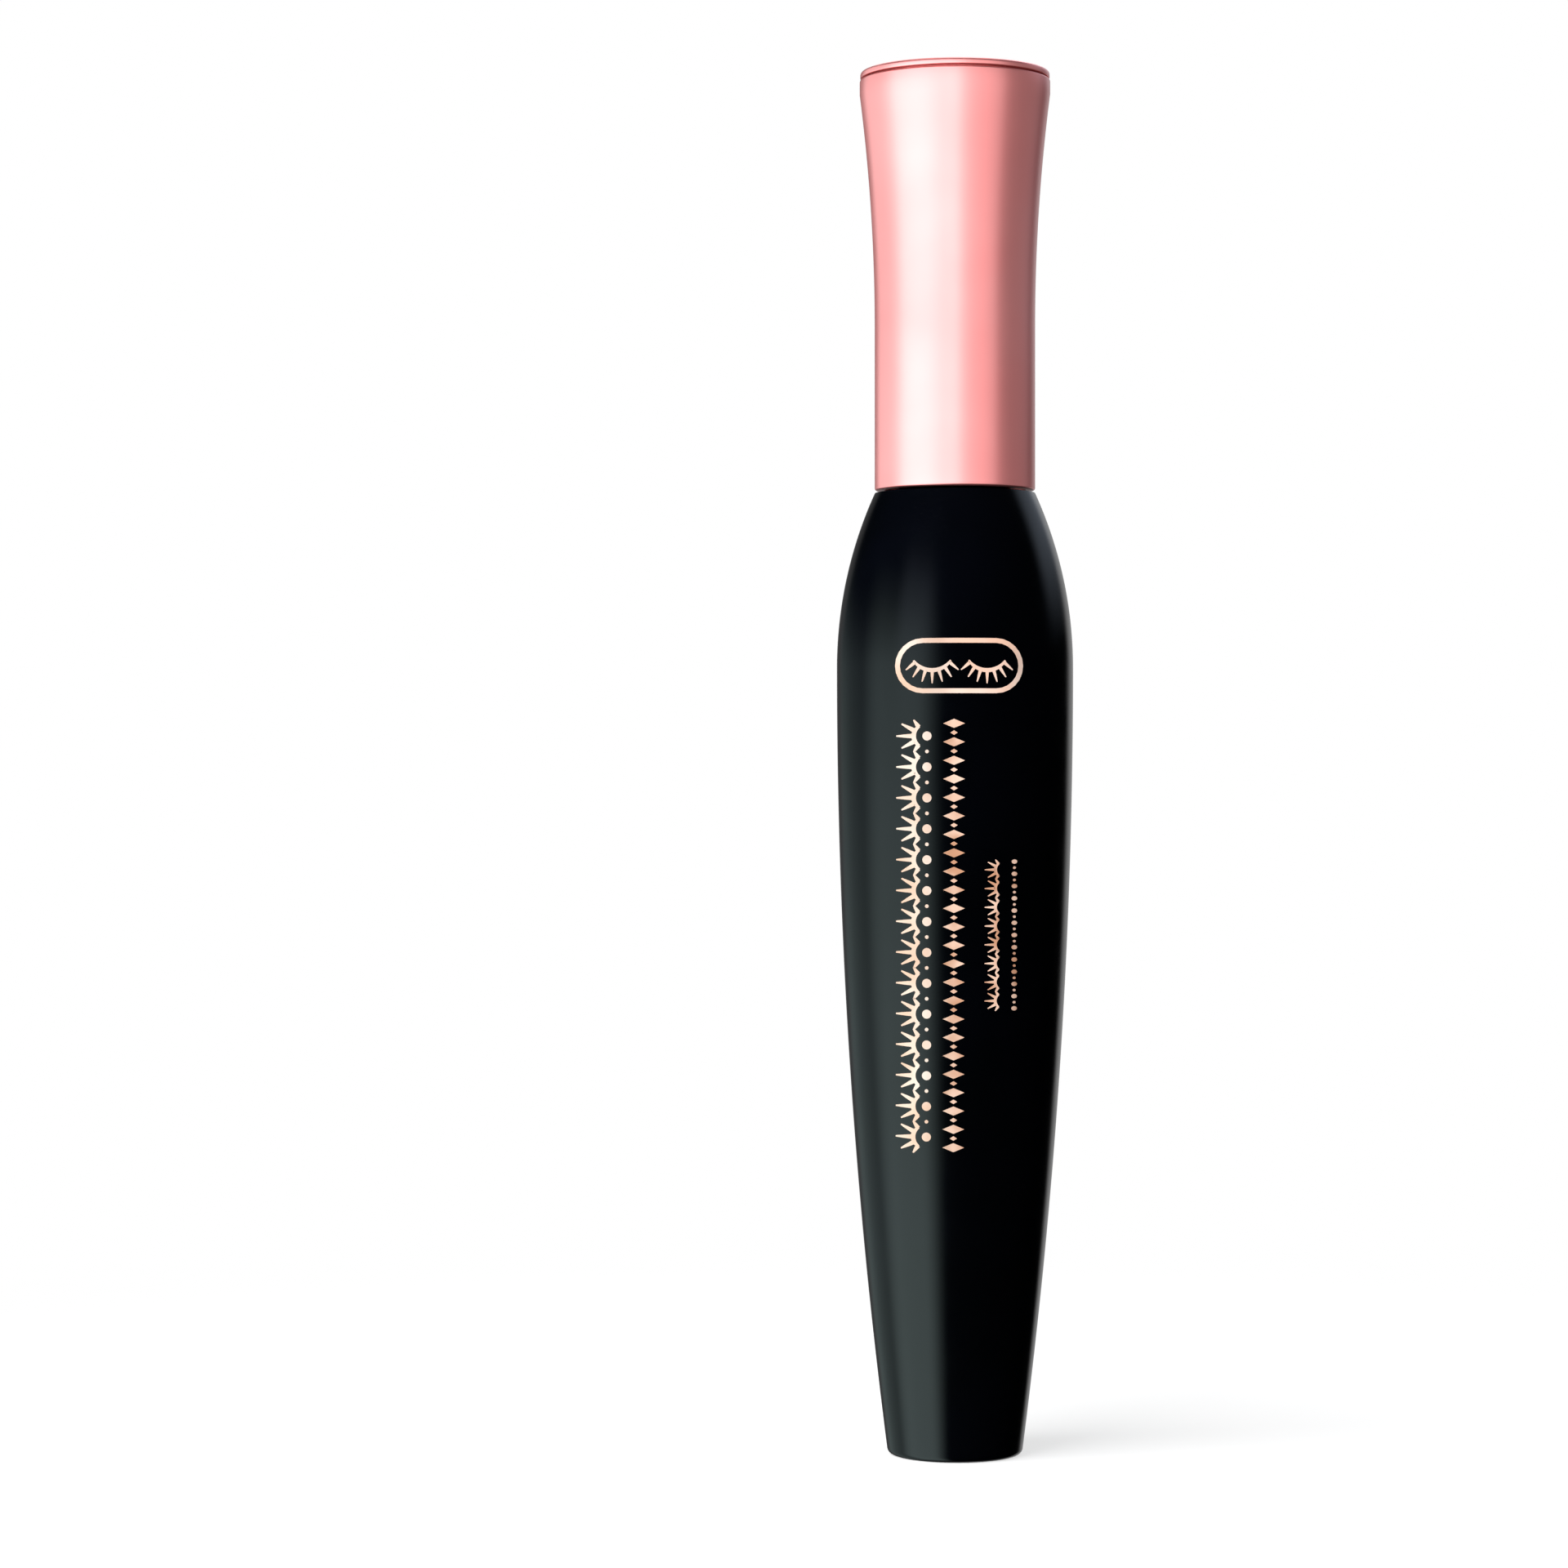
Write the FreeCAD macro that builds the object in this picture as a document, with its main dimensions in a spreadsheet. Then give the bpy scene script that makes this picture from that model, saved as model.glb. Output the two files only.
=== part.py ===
import FreeCAD, Part
import Sketcher
import math
import os

# Mascara tube: a black blow-moulded bottle with a threaded neck, and a screw cap that carries the
# rod and brush. +Z is up, the origin is the centre of the base, and lengths are in millimetres.

DRIVING_SIZES = {
    # bottle, outside
    "base_radius": 6.1,
    "base_edge": 0.6,
    "label_recess_radius": 4.6,
    "label_recess_depth": 0.25,
    "belly_radius": 10.6,
    "belly_level": 70.5,
    "shoulder_radius": 7.2,
    "shoulder_level": 86.2,
    "neck_radius": 5.0,
    "neck_bore": 4.0,
    "neck_rim_level": 96.0,
    # bottle, inside
    "wall": 1.3,
    "floor_level": 1.8,
    "inner_shoulder_drop": 2.0,
    "throat_drop": 0.5,
    # screw thread, single start and right-handed
    "thread_lead": 3.0,
    "thread_depth": 0.7,
    "thread_root_half": 0.65,
    "thread_crest_half": 0.35,
    "thread_embed": 0.2,
    "thread_play": 0.15,
    "neck_thread_level": 90.1,
    "neck_thread_turns": 1.33,
    "cap_thread_turns": 0.85,
    # wiper and gasket
    "flange_height": 0.8,
    "wiper_bore": 3.45,
    "wiper_cone_level": 88.5,
    "wiper_lip_level": 84.6,
    "wiper_lip_height": 0.4,
    "wiper_lip_wall": 0.45,
    "rod_play": 0.05,
    "gasket_height": 0.5,
    "gasket_bore": 3.7,
    "gasket_radius": 4.9,
    "gasket_gap": 0.05,
    # paste and label
    "paste_level": 66.0,
    "paste_tunnel": 3.8,
    "paste_gap": 0.05,
    "label_radius": 4.4,
    "label_height": 0.15,
    # cap shell and end disc
    "cap_gap": 0.25,
    "cap_wall": 0.85,
    "cap_rim_edge": 0.2,
    "flare_level": 101.0,
    "flare_radius": 8.55,
    "flare_end_level": 122.0,
    "inner_flare_end_level": 119.0,
    "total_height": 124.0,
    "disc_height": 0.6,
    "disc_seam": 0.15,
    "disc_edge": 0.3,
    "disc_inset": 0.05,
    "skirt_play": 0.08,
    "skirt_wall": 0.7,
    "skirt_height": 3.6,
    # inner cap
    "inner_cap_gap": 0.7,
    "ceiling_height": 1.2,
    "socket_radius": 4.2,
    "socket_depth": 12.0,
    "socket_lid": 1.0,
    "rib_height": 4.5,
    "rib_width": 0.8,
    "rib_gap": 0.05,
    "rib_count": 6,
    # rod
    "rod_radius": 2.0,
    "rod_tip_level": 31.5,
    "rod_tip_radius": 1.0,
    "rod_taper": 3.0,
    "rod_head_radius": 3.0,
    "rod_head_chamfer": 0.4,
    "rod_collar_radius": 3.4,
    "rod_collar_height": 0.5,
    # brush
    "strand_radius": 0.32,
    "twist_radius": 0.335,
    "twist_pitch": 2.92,
    "wire_end_radius": 0.68,
    "wire_anchor": 8.0,
    "brush_tip_level": 6.0,
    "bristle_root": 0.72,
    "bristle_collar": 0.9,
    "bristle_radius": 3.37,
    "bristle_tip_radius": 1.7,
    "bristle_taper_level": 15.4,
    "bristle_top_level": 30.6,
    "bristle_row_height": 0.9,
}

doc = FreeCAD.newDocument("mascara_tube")
sheet = doc.addObject("Spreadsheet::Sheet", "Sizes")
for row, (alias, number) in enumerate(DRIVING_SIZES.items(), start=1):
    sheet.set(f"A{row}", alias)
    sheet.set(f"B{row}", str(number))
    sheet.setAlias(f"B{row}", alias)
doc.recompute()


class Size:
    """A length that knows its number and the sheet expression that gives it."""

    def __init__(self, value, text):
        self.value = value
        self.text = text

    def __add__(self, other):
        other = as_size(other)
        return Size(self.value + other.value, f"({self.text} + {other.text})")

    def __sub__(self, other):
        other = as_size(other)
        return Size(self.value - other.value, f"({self.text} - {other.text})")

    def __mul__(self, other):
        other = as_size(other)
        return Size(self.value * other.value, f"({self.text} * {other.text})")

    def __truediv__(self, other):
        other = as_size(other)
        return Size(self.value / other.value, f"({self.text} / {other.text})")


def as_size(number):
    """Take a plain number as a Size."""
    return number if isinstance(number, Size) else Size(float(number), str(float(number)))


def cell(alias):
    """The Size held in one cell of the sheet."""
    return Size(float(sheet.get(alias)), f"Sizes.{alias}")


def tangent_radius(rise, run):
    """Radius of the arc that leaves the vertical and moves sideways by run over a rise."""
    return (rise * rise + run * run) / (run * 2)


def bind(feature, **values):
    """Bind properties of a feature to expressions of the sheet."""
    for name, value in values.items():
        feature.setExpression(name, as_size(value).text)


# ---- levels and radii that several pieces share ------------------------------------------------

shell_bore = cell("shoulder_radius") - cell("cap_wall")
shell_bottom = cell("shoulder_level") + cell("cap_gap")
shell_top = cell("total_height") - cell("disc_height") - cell("disc_seam")
shell_top_bore = cell("flare_radius") - cell("cap_wall")
flange_top = cell("neck_rim_level") + cell("flange_height")
gasket_bottom = flange_top + cell("gasket_gap")
ceiling_level = gasket_bottom + cell("gasket_height") + cell("gasket_gap")
ceiling_top = ceiling_level + cell("ceiling_height")
socket_end = ceiling_level + cell("socket_depth")
cap_thread_root = cell("neck_radius") + cell("thread_depth") + cell("thread_play")
wire_end = cell("wire_end_radius")

# Both threads have the same flanks, so the axial room that the two rows take together is the same
# at every radius between neck and cap. The cap's row runs under the neck's row by that much.
flank_slope = (cell("thread_root_half") - cell("thread_crest_half")) / cell("thread_depth")
thread_reach = cell("thread_depth") + cell("thread_play")
rows_together = cell("thread_root_half") * 2 - flank_slope * thread_reach
cap_thread_level = cell("neck_thread_level") - rows_together - cell("thread_play") * 0.8


# ---- sketches and features ---------------------------------------------------------------------

def new_body(label):
    """A new body whose Label names its file."""
    body = doc.addObject("PartDesign::Body", label)
    body.Label = label
    body.Placement = FreeCAD.Placement()
    return body


def origin_plane(body, role):
    """One of the body's own origin planes."""
    return next(item for item in body.Origin.OriginFeatures if item.Role == role)


def arc_between(start, end, radius, side):
    """The arc from start to end, and whether it runs anticlockwise.

    side is +1 for a centre on the left of the way from start to end, and -1 for the right.
    """
    along = end - start
    middle = (start + end) * 0.5
    left = FreeCAD.Vector(-along.y, along.x, 0).normalize()
    height = math.sqrt(max(radius ** 2 - (along.Length / 2) ** 2, 0.0))
    centre = middle + left * height * side
    first, last = (start, end) if side > 0 else (end, start)
    angles = [math.atan2(point.y - centre.y, point.x - centre.x) for point in (first, last)]
    circle = Part.Circle(centre, FreeCAD.Vector(0, 0, 1), radius)
    return Part.ArcOfCircle(circle, angles[0], angles[1]), side > 0


def hold_point(sketch, edge, end, x, y):
    """Hold one end of an edge at x, y, or on an axis where a coordinate is zero."""
    for size, kind, axis in ((x, "DistanceX", -2), (y, "DistanceY", -1)):
        size = as_size(size)
        if abs(size.value) < 1e-9:
            sketch.addConstraint(Sketcher.Constraint("PointOnObject", edge, end, axis))
            continue
        number = sketch.addConstraint(Sketcher.Constraint(kind, -1, 1, edge, end, size.value))
        sketch.setExpression(f"Constraints[{number}]", size.text)


def draw_outline(sketch, corners):
    """Draw a closed outline through corners, each (x, y) or (x, y, radius, side).

    A corner with a radius starts an arc of that radius; any other starts a straight edge.
    """
    points = [FreeCAD.Vector(as_size(c[0]).value, as_size(c[1]).value, 0) for c in corners]
    starts = []
    ends = []
    for index, corner in enumerate(corners):
        start = points[index]
        end = points[(index + 1) % len(points)]
        anticlockwise = True
        if len(corner) == 4:
            edge, anticlockwise = arc_between(start, end, corner[2].value, corner[3])
            number = sketch.addGeometry(edge, False)
            held = sketch.addConstraint(Sketcher.Constraint("Radius", number, corner[2].value))
            sketch.setExpression(f"Constraints[{held}]", corner[2].text)
        else:
            number = sketch.addGeometry(Part.LineSegment(start, end), False)
        starts.append((number, 1 if anticlockwise else 2))
        ends.append((number, 2 if anticlockwise else 1))
    for index, corner in enumerate(corners):
        following = starts[(index + 1) % len(corners)]
        sketch.addConstraint(Sketcher.Constraint("Coincident", *ends[index], *following))
        hold_point(sketch, *starts[index], corner[0], corner[1])


def new_sketch(body, name, role="XZ_Plane"):
    """An empty sketch on one of the body's own origin planes."""
    sketch = body.newObject("Sketcher::SketchObject", name)
    sketch.AttachmentSupport = [(origin_plane(body, role), "")]
    sketch.MapMode = "FlatFace"
    return sketch


def outline_sketch(body, name, corners):
    """A sketch of an outline in the plane of the axis: x is the radius, y the level."""
    sketch = new_sketch(body, name)
    draw_outline(sketch, corners)
    return sketch


def revolve(body, name, corners):
    """Turn an outline about the tube's axis."""
    sketch = outline_sketch(body, f"{name}_outline", corners)
    feature = body.newObject("PartDesign::Revolution", name)
    feature.Profile = sketch
    feature.ReferenceAxis = (sketch, ["V_Axis"])
    feature.Angle = 360
    sketch.Visibility = False
    return feature


def groove(body, name, corners):
    """Cut the ring that an outline sweeps about the tube's axis."""
    doc.recompute()
    before = body.Shape.Volume
    sketch = outline_sketch(body, f"{name}_outline", corners)
    feature = body.newObject("PartDesign::Groove", name)
    feature.Profile = sketch
    feature.ReferenceAxis = (sketch, ["V_Axis"])
    feature.Angle = 360
    doc.recompute()
    if body.Shape.Volume >= before:
        raise RuntimeError(f"{name} cut nothing from {body.Label}")
    return feature


def wind(body, name, sketch, pitch, turns):
    """Wind a sketch up the tube's axis as a right-handed helix."""
    feature = body.newObject("PartDesign::AdditiveHelix", name)
    feature.Profile = sketch
    feature.ReferenceAxis = (sketch, ["V_Axis"])
    feature.Mode = "pitch-turns-angle"
    feature.LeftHanded = False
    bind(feature, Pitch=pitch, Turns=turns)
    return feature


def thread_row(body, name, root, direction, level, turns):
    """Wind one thread row. direction is +1 for a crest outside the root, and -1 for inside."""
    embed = cell("thread_embed") * direction
    depth = cell("thread_depth") * direction
    foot_half = cell("thread_root_half") + flank_slope * cell("thread_embed")
    crest_half = cell("thread_crest_half")
    sketch = outline_sketch(body, f"{name}_outline", [
        (root - embed, level - foot_half),
        (root + depth, level - crest_half),
        (root + depth, level + crest_half),
        (root - embed, level + foot_half),
    ])
    return wind(body, name, sketch, cell("thread_lead"), turns)


def turn_copies(body, feature, count):
    """Repeat a feature about the tube's axis and make the pattern the body's tip."""
    doc.recompute()
    before = body.Shape.Volume
    pattern = body.newObject("PartDesign::PolarPattern", f"{feature.Name}_copies")
    pattern.Originals = [feature]
    pattern.Axis = (origin_axis(body), [""])
    pattern.Angle = 360
    bind(pattern, Occurrences=count)
    body.Tip = pattern
    doc.recompute()
    if body.Shape.Volume <= before:
        raise RuntimeError(f"{pattern.Name} added nothing to {body.Label}")
    return pattern


def origin_axis(body):
    """The body's own Z axis."""
    return next(item for item in body.Origin.OriginFeatures if item.Role == "Z_Axis")


# ---- the bottle and what is fixed in it --------------------------------------------------------

def make_bottle():
    """One-piece bottle: gentle belly, round shoulder, threaded neck, recess in the base."""
    body = new_body("bottle")
    base_edge = cell("base_edge")
    belly = cell("belly_radius")
    level = cell("belly_level")
    inner_belly = belly - cell("wall")
    inner_base = cell("base_radius") - cell("wall")
    inner_top = cell("shoulder_level") - cell("inner_shoulder_drop")
    inner_top_radius = cell("shoulder_radius") - cell("wall")
    throat_level = cell("shoulder_level") - cell("throat_drop")
    lower_side = tangent_radius(level - base_edge, belly - cell("base_radius"))
    shoulder = tangent_radius(cell("shoulder_level") - level, belly - cell("shoulder_radius"))
    inner_lower_side = tangent_radius(level - cell("floor_level"), inner_belly - inner_base)
    inner_shoulder = tangent_radius(inner_top - level, inner_belly - inner_top_radius)
    revolve(body, "bottle_wall", [
        (0, cell("label_recess_depth")),
        (cell("label_recess_radius"), cell("label_recess_depth")),
        (cell("label_recess_radius"), 0),
        (cell("base_radius") - base_edge, 0, base_edge, 1),
        (cell("base_radius"), base_edge, lower_side, 1),
        (belly, level, shoulder, 1),
        (cell("shoulder_radius"), cell("shoulder_level")),
        (cell("neck_radius"), cell("shoulder_level")),
        (cell("neck_radius"), cell("neck_rim_level")),
        (cell("neck_bore"), cell("neck_rim_level")),
        (cell("neck_bore"), throat_level),
        (inner_top_radius, inner_top, inner_shoulder, -1),
        (inner_belly, level, inner_lower_side, -1),
        (inner_base, cell("floor_level")),
        (0, cell("floor_level")),
    ])
    thread_row(body, "neck_thread", cell("neck_radius"), 1, cell("neck_thread_level"),
               cell("neck_thread_turns"))
    return body


def make_wiper():
    """Soft plug: a flange on the neck rim, a tube in the bore and a conical lip round the rod."""
    body = new_body("wiper")
    lip_bore = cell("rod_radius") + cell("rod_play")
    lip_top = cell("wiper_lip_level") + cell("wiper_lip_height")
    revolve(body, "wiper_wall", [
        (cell("wiper_bore"), flange_top),
        (cell("wiper_bore"), cell("wiper_cone_level")),
        (lip_bore, lip_top),
        (lip_bore, cell("wiper_lip_level")),
        (lip_bore + cell("wiper_lip_wall"), cell("wiper_lip_level")),
        (cell("neck_bore"), cell("wiper_cone_level")),
        (cell("neck_bore"), cell("neck_rim_level")),
        (cell("neck_radius"), cell("neck_rim_level")),
        (cell("neck_radius"), flange_top),
    ])
    return body


def make_paste():
    """The product: it fills the bottle up to its level, round the tunnel that the brush leaves."""
    body = new_body("mascara_paste")
    level = cell("belly_level")
    gap = cell("wall") + cell("paste_gap")
    belly = cell("belly_radius") - gap
    base = cell("base_radius") - gap
    side = tangent_radius(level - cell("floor_level"), belly - base)
    run = cell("paste_level") - level
    # The side follows the same arc as the bottle's inside, up to the level of the fill.
    top_radius = belly - run * run / (side * 2)
    revolve(body, "paste_fill", [
        (0, cell("floor_level")),
        (base, cell("floor_level"), side, 1),
        (top_radius, cell("paste_level")),
        (cell("paste_tunnel"), cell("paste_level")),
        (cell("paste_tunnel"), cell("floor_level") + cell("wall")),
        (0, cell("floor_level") + cell("wall")),
    ])
    return body


def make_base_label():
    """Plain round label, stuck in the recess of the base."""
    body = new_body("base_label")
    top = cell("label_recess_depth")
    bottom = top - cell("label_height")
    revolve(body, "label_disc", [
        (0, bottom),
        (cell("label_radius"), bottom),
        (cell("label_radius"), top),
        (0, top),
    ])
    return body


# ---- the cap -----------------------------------------------------------------------------------

def make_gasket():
    """Flat sealing ring between the wiper's flange and the inner cap's ceiling."""
    body = new_body("gasket")
    top = gasket_bottom + cell("gasket_height")
    revolve(body, "gasket_ring", [
        (cell("gasket_bore"), gasket_bottom),
        (cell("gasket_radius"), gasket_bottom),
        (cell("gasket_radius"), top),
        (cell("gasket_bore"), top),
    ])
    return body


def make_end_disc():
    """Round lid that snaps into the open end of the shell: a plate with a skirt under it."""
    body = new_body("cap_end_disc")
    top = cell("total_height")
    plate_bottom = top - cell("disc_height")
    plate_radius = cell("flare_radius") - cell("disc_inset")
    edge = cell("disc_edge")
    skirt_radius = shell_top_bore - cell("skirt_play")
    skirt_bottom = plate_bottom - cell("skirt_height")
    revolve(body, "disc_plate", [
        (0, plate_bottom),
        (skirt_radius - cell("skirt_wall"), plate_bottom),
        (skirt_radius - cell("skirt_wall"), skirt_bottom),
        (skirt_radius, skirt_bottom),
        (skirt_radius, plate_bottom),
        (plate_radius, plate_bottom),
        (plate_radius, top - edge, edge, 1),
        (plate_radius - edge, top),
        (0, top),
    ])
    return body


def make_cap_shell():
    """Thin outer shell: straight at the open end, flared towards the closed end."""
    body = new_body("cap_shell")
    outside = cell("shoulder_radius")
    edge = cell("cap_rim_edge")
    flare = tangent_radius(cell("flare_end_level") - cell("flare_level"),
                           cell("flare_radius") - outside)
    inner_flare = tangent_radius(cell("inner_flare_end_level") - cell("flare_level"),
                                 shell_top_bore - shell_bore)
    revolve(body, "shell_wall", [
        (shell_bore, shell_bottom),
        (outside - edge, shell_bottom, edge, 1),
        (outside, shell_bottom + edge),
        (outside, cell("flare_level"), flare, -1),
        (cell("flare_radius"), cell("flare_end_level")),
        (cell("flare_radius"), shell_top - edge, edge, 1),
        (cell("flare_radius") - edge, shell_top),
        (shell_top_bore, shell_top),
        (shell_top_bore, cell("inner_flare_end_level"), inner_flare, 1),
        (shell_bore, cell("flare_level")),
    ])
    return body


def make_inner_cap():
    """Screw cap inside the shell: threaded skirt, ceiling, and the ribbed socket for the rod."""
    body = new_body("inner_cap")
    bottom = cell("shoulder_level") + cell("inner_cap_gap")
    lid_level = socket_end + cell("socket_lid")
    revolve(body, "inner_cap_wall", [
        (cap_thread_root, bottom),
        (shell_bore, bottom),
        (shell_bore, ceiling_top),
        (cell("socket_radius"), ceiling_top),
        (cell("socket_radius"), lid_level),
        (0, lid_level),
        (0, socket_end),
        (cell("rod_head_radius"), socket_end),
        (cell("rod_head_radius"), ceiling_level),
        (cap_thread_root, ceiling_level),
    ])
    thread_row(body, "cap_thread", cap_thread_root, -1, cap_thread_level,
               cell("cap_thread_turns"))
    doc.recompute()
    half = cell("rib_width") / 2
    sketch = new_sketch(body, "rib_outline", "XY_Plane")
    bind(sketch, **{".AttachmentOffset.Base.z": ceiling_top})
    inner = cell("socket_radius") - half
    outer = shell_bore - cell("rib_gap")
    draw_outline(sketch, [
        (inner, half * -1),
        (outer, half * -1),
        (outer, half),
        (inner, half),
    ])
    rib = body.newObject("PartDesign::Pad", "rib")
    rib.Profile = sketch
    bind(rib, Length=cell("rib_height"))
    turn_copies(body, rib, cell("rib_count"))
    return body


# ---- the applicator ----------------------------------------------------------------------------

def make_rod():
    """Rod with a tapered end that holds the wire, a stop collar and a head for the socket."""
    body = new_body("rod")
    tip = cell("rod_tip_level")
    taper = tangent_radius(cell("rod_taper"), cell("rod_radius") - cell("rod_tip_radius"))
    collar_bottom = ceiling_level - cell("rod_collar_height")
    chamfer = cell("rod_head_chamfer")
    bore_end = tip + cell("wire_anchor")
    revolve(body, "rod_core", [
        (wire_end, tip),
        (cell("rod_tip_radius"), tip, taper, 1),
        (cell("rod_radius"), tip + cell("rod_taper")),
        (cell("rod_radius"), collar_bottom),
        (cell("rod_collar_radius"), collar_bottom),
        (cell("rod_collar_radius"), ceiling_level),
        (cell("rod_head_radius"), ceiling_level),
        (cell("rod_head_radius"), socket_end - chamfer),
        (cell("rod_head_radius") - chamfer, socket_end),
        (0, socket_end),
        (0, bore_end),
        (wire_end, bore_end),
    ])
    return body


def make_brush_wire():
    """Two strands of one bent wire, twisted together, with their root set in the rod."""
    body = new_body("brush_wire")
    root_bottom = cell("rod_tip_level")
    root_top = root_bottom + cell("wire_anchor")
    tip = cell("brush_tip_level")
    bend = tip + cell("strand_radius") * 2
    revolve(body, "wire_root", [
        (0, root_bottom),
        (wire_end, root_bottom),
        (wire_end, root_top),
        (0, root_top),
    ])
    sketch = new_sketch(body, "strand_outline")
    circle = Part.Circle(FreeCAD.Vector(cell("twist_radius").value, bend.value, 0),
                         FreeCAD.Vector(0, 0, 1), cell("strand_radius").value)
    number = sketch.addGeometry(circle, False)
    hold_point(sketch, number, 3, cell("twist_radius"), bend)
    held = sketch.addConstraint(Sketcher.Constraint("Radius", number, circle.Radius))
    sketch.setExpression(f"Constraints[{held}]", cell("strand_radius").text)
    turns = (root_bottom - bend + cell("strand_radius") * 2) / cell("twist_pitch")
    strand = wind(body, "strand", sketch, cell("twist_pitch"), turns)
    turn_copies(body, strand, as_size(2))
    edge = cell("strand_radius")
    revolve(body, "wire_bend", [
        (0, tip),
        (wire_end - edge, tip, edge, 1),
        (wire_end, tip + edge),
        (wire_end, bend + edge),
        (0, bend + edge),
    ])
    return body


def make_brush_bristles():
    """The bristles as two helical rows round the wire, trimmed to the brush's tapered outline."""
    body = new_body("brush_bristles")
    row_half = cell("bristle_row_height") / 2
    bottom = cell("brush_tip_level") + cell("strand_radius")
    top = cell("bristle_top_level")
    revolve(body, "bristle_collar_wall", [
        (cell("bristle_root"), bottom),
        (cell("bristle_collar"), bottom),
        (cell("bristle_collar"), top),
        (cell("bristle_root"), top),
    ])
    level = bottom + row_half
    inner = (cell("bristle_root") + cell("bristle_collar")) / 2
    sketch = outline_sketch(body, "bristle_row_outline", [
        (inner, level - row_half),
        (cell("bristle_radius"), level - row_half),
        (cell("bristle_radius"), level + row_half),
        (inner, level + row_half),
    ])
    turns = (top - bottom - row_half * 2) / cell("twist_pitch")
    row = wind(body, "bristle_row", sketch, cell("twist_pitch"), turns)
    turn_copies(body, row, as_size(2))
    beyond = cell("bristle_radius") + 1
    groove(body, "bristle_taper", [
        (cell("bristle_tip_radius"), bottom - 1),
        (beyond, bottom - 1),
        (beyond, cell("bristle_taper_level")),
        (cell("bristle_radius"), cell("bristle_taper_level")),
        (cell("bristle_tip_radius"), bottom),
    ])
    return body


nodes = [
    make_bottle(),
    make_wiper(),
    make_paste(),
    make_base_label(),
    make_gasket(),
    make_end_disc(),
    make_cap_shell(),
    make_inner_cap(),
    make_rod(),
    make_brush_wire(),
    make_brush_bristles(),
]
doc.recompute()

for item in doc.Objects:
    if "Invalid" in item.State or "Error" in item.State:
        raise RuntimeError(f"{item.Label} failed: {item.State}")
for node in nodes:
    if node.Shape.isNull() or not node.Shape.isValid():
        raise RuntimeError(f"{node.Label} has no valid shape")

os.makedirs("parts", exist_ok=True)
for node in nodes:
    node.Shape.exportStep(os.path.join("parts", f"{node.Label}.step"))
    box = node.Shape.optimalBoundingBox(False)
    print(f"{node.Label}: {len(node.Shape.Solids)} solid, {node.Shape.Volume:.2f} mm3, "
          f"z {box.ZMin:.2f} to {box.ZMax:.2f}, width {box.XLength:.2f}")
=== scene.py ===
import logging
import math
from dataclasses import dataclass, field
from enum import Enum
from functools import partial

import bmesh
import bpy
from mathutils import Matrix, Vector


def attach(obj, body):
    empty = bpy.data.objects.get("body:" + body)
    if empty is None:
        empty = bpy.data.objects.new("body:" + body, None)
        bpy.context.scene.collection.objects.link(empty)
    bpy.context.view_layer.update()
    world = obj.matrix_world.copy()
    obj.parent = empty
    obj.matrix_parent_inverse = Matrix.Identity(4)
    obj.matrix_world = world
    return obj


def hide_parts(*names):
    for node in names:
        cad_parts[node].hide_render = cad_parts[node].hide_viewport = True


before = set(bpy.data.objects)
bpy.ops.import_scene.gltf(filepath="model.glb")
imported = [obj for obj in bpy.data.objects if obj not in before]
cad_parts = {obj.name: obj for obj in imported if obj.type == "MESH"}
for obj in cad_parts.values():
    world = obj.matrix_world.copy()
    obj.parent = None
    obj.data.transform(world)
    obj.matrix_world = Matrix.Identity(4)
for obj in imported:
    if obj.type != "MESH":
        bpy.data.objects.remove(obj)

LOG = logging.getLogger("mascara_tube")
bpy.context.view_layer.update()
MM = 0.001
WELD = 1e-7  # metres, below which two points are one
SHARP = math.radians(32)  # a turned piece's edge is sharp past this
CORNER_STEPS = 6
HAZE_FINER = 2.6  # the haze's patches are this much smaller than the colour's
LEFT, RIGHT = 1, -1
CORNER_SHARE = 0.48  # most of an edge that one rounded corner may use

MATH = "ShaderNodeMath"
VECTOR = "ShaderNodeVectorMath"
RANGE = "ShaderNodeMapRange"
SPLIT = "ShaderNodeSeparateXYZ"
JOIN = "ShaderNodeCombineXYZ"
NOISE = "ShaderNodeTexNoise"
SMOOTH = {"interpolation_type": "SMOOTHSTEP"}
ORIGIN = (0.0, 0.0, 0.0)

Point = tuple[float, float]
Place = tuple[float, float, float]
Socket = bpy.types.NodeSocket
Link = bpy.types.Node | Socket | float | tuple[float, ...]


# ---- nodes --------------------------------------------------------------------------------------

def add_node(tree: bpy.types.NodeTree, kind: str, settings: dict | str | None = None,
             links: dict | tuple | None = None) -> bpy.types.Node:
    """Adds one node with its settings and links.

    Args:
        tree: The tree that gets the node.
        kind: Blender's type name for the node.
        settings: The node's own properties by name, or just its operation.
        links: What goes into each input, by input name or number, or in the inputs' order. It is
            a socket, a node whose first output is meant, or a plain value.

    Returns:
        The new node.
    """
    node = tree.nodes.new(kind)
    if isinstance(settings, str):
        settings = {"operation": settings}
    for name, value in (settings or {}).items():
        setattr(node, name, value)
    if isinstance(links, tuple):
        links = dict(enumerate(links))
    for key, value in (links or {}).items():
        if isinstance(value, bpy.types.Node):
            value = value.outputs[0]
        if isinstance(value, Socket):
            tree.links.new(value, node.inputs[key])
        else:
            node.inputs[key].default_value = value
    return node


def linear(hex_colour: str) -> tuple[float, float, float, float]:
    """Turns an sRGB hex colour into linear values.

    Args:
        hex_colour: Six hex digits, such as "F2A7A2".

    Returns:
        Linear red, green, blue and an alpha of 1.
    """
    parts = [int(hex_colour[i:i + 2], 16) / 255 for i in (0, 2, 4)]
    red, green, blue = (c / 12.92 if c <= 0.04045 else ((c + 0.055) / 1.055) ** 2.4 for c in parts)
    return red, green, blue, 1.0


# ---- finishes -----------------------------------------------------------------------------------

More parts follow.
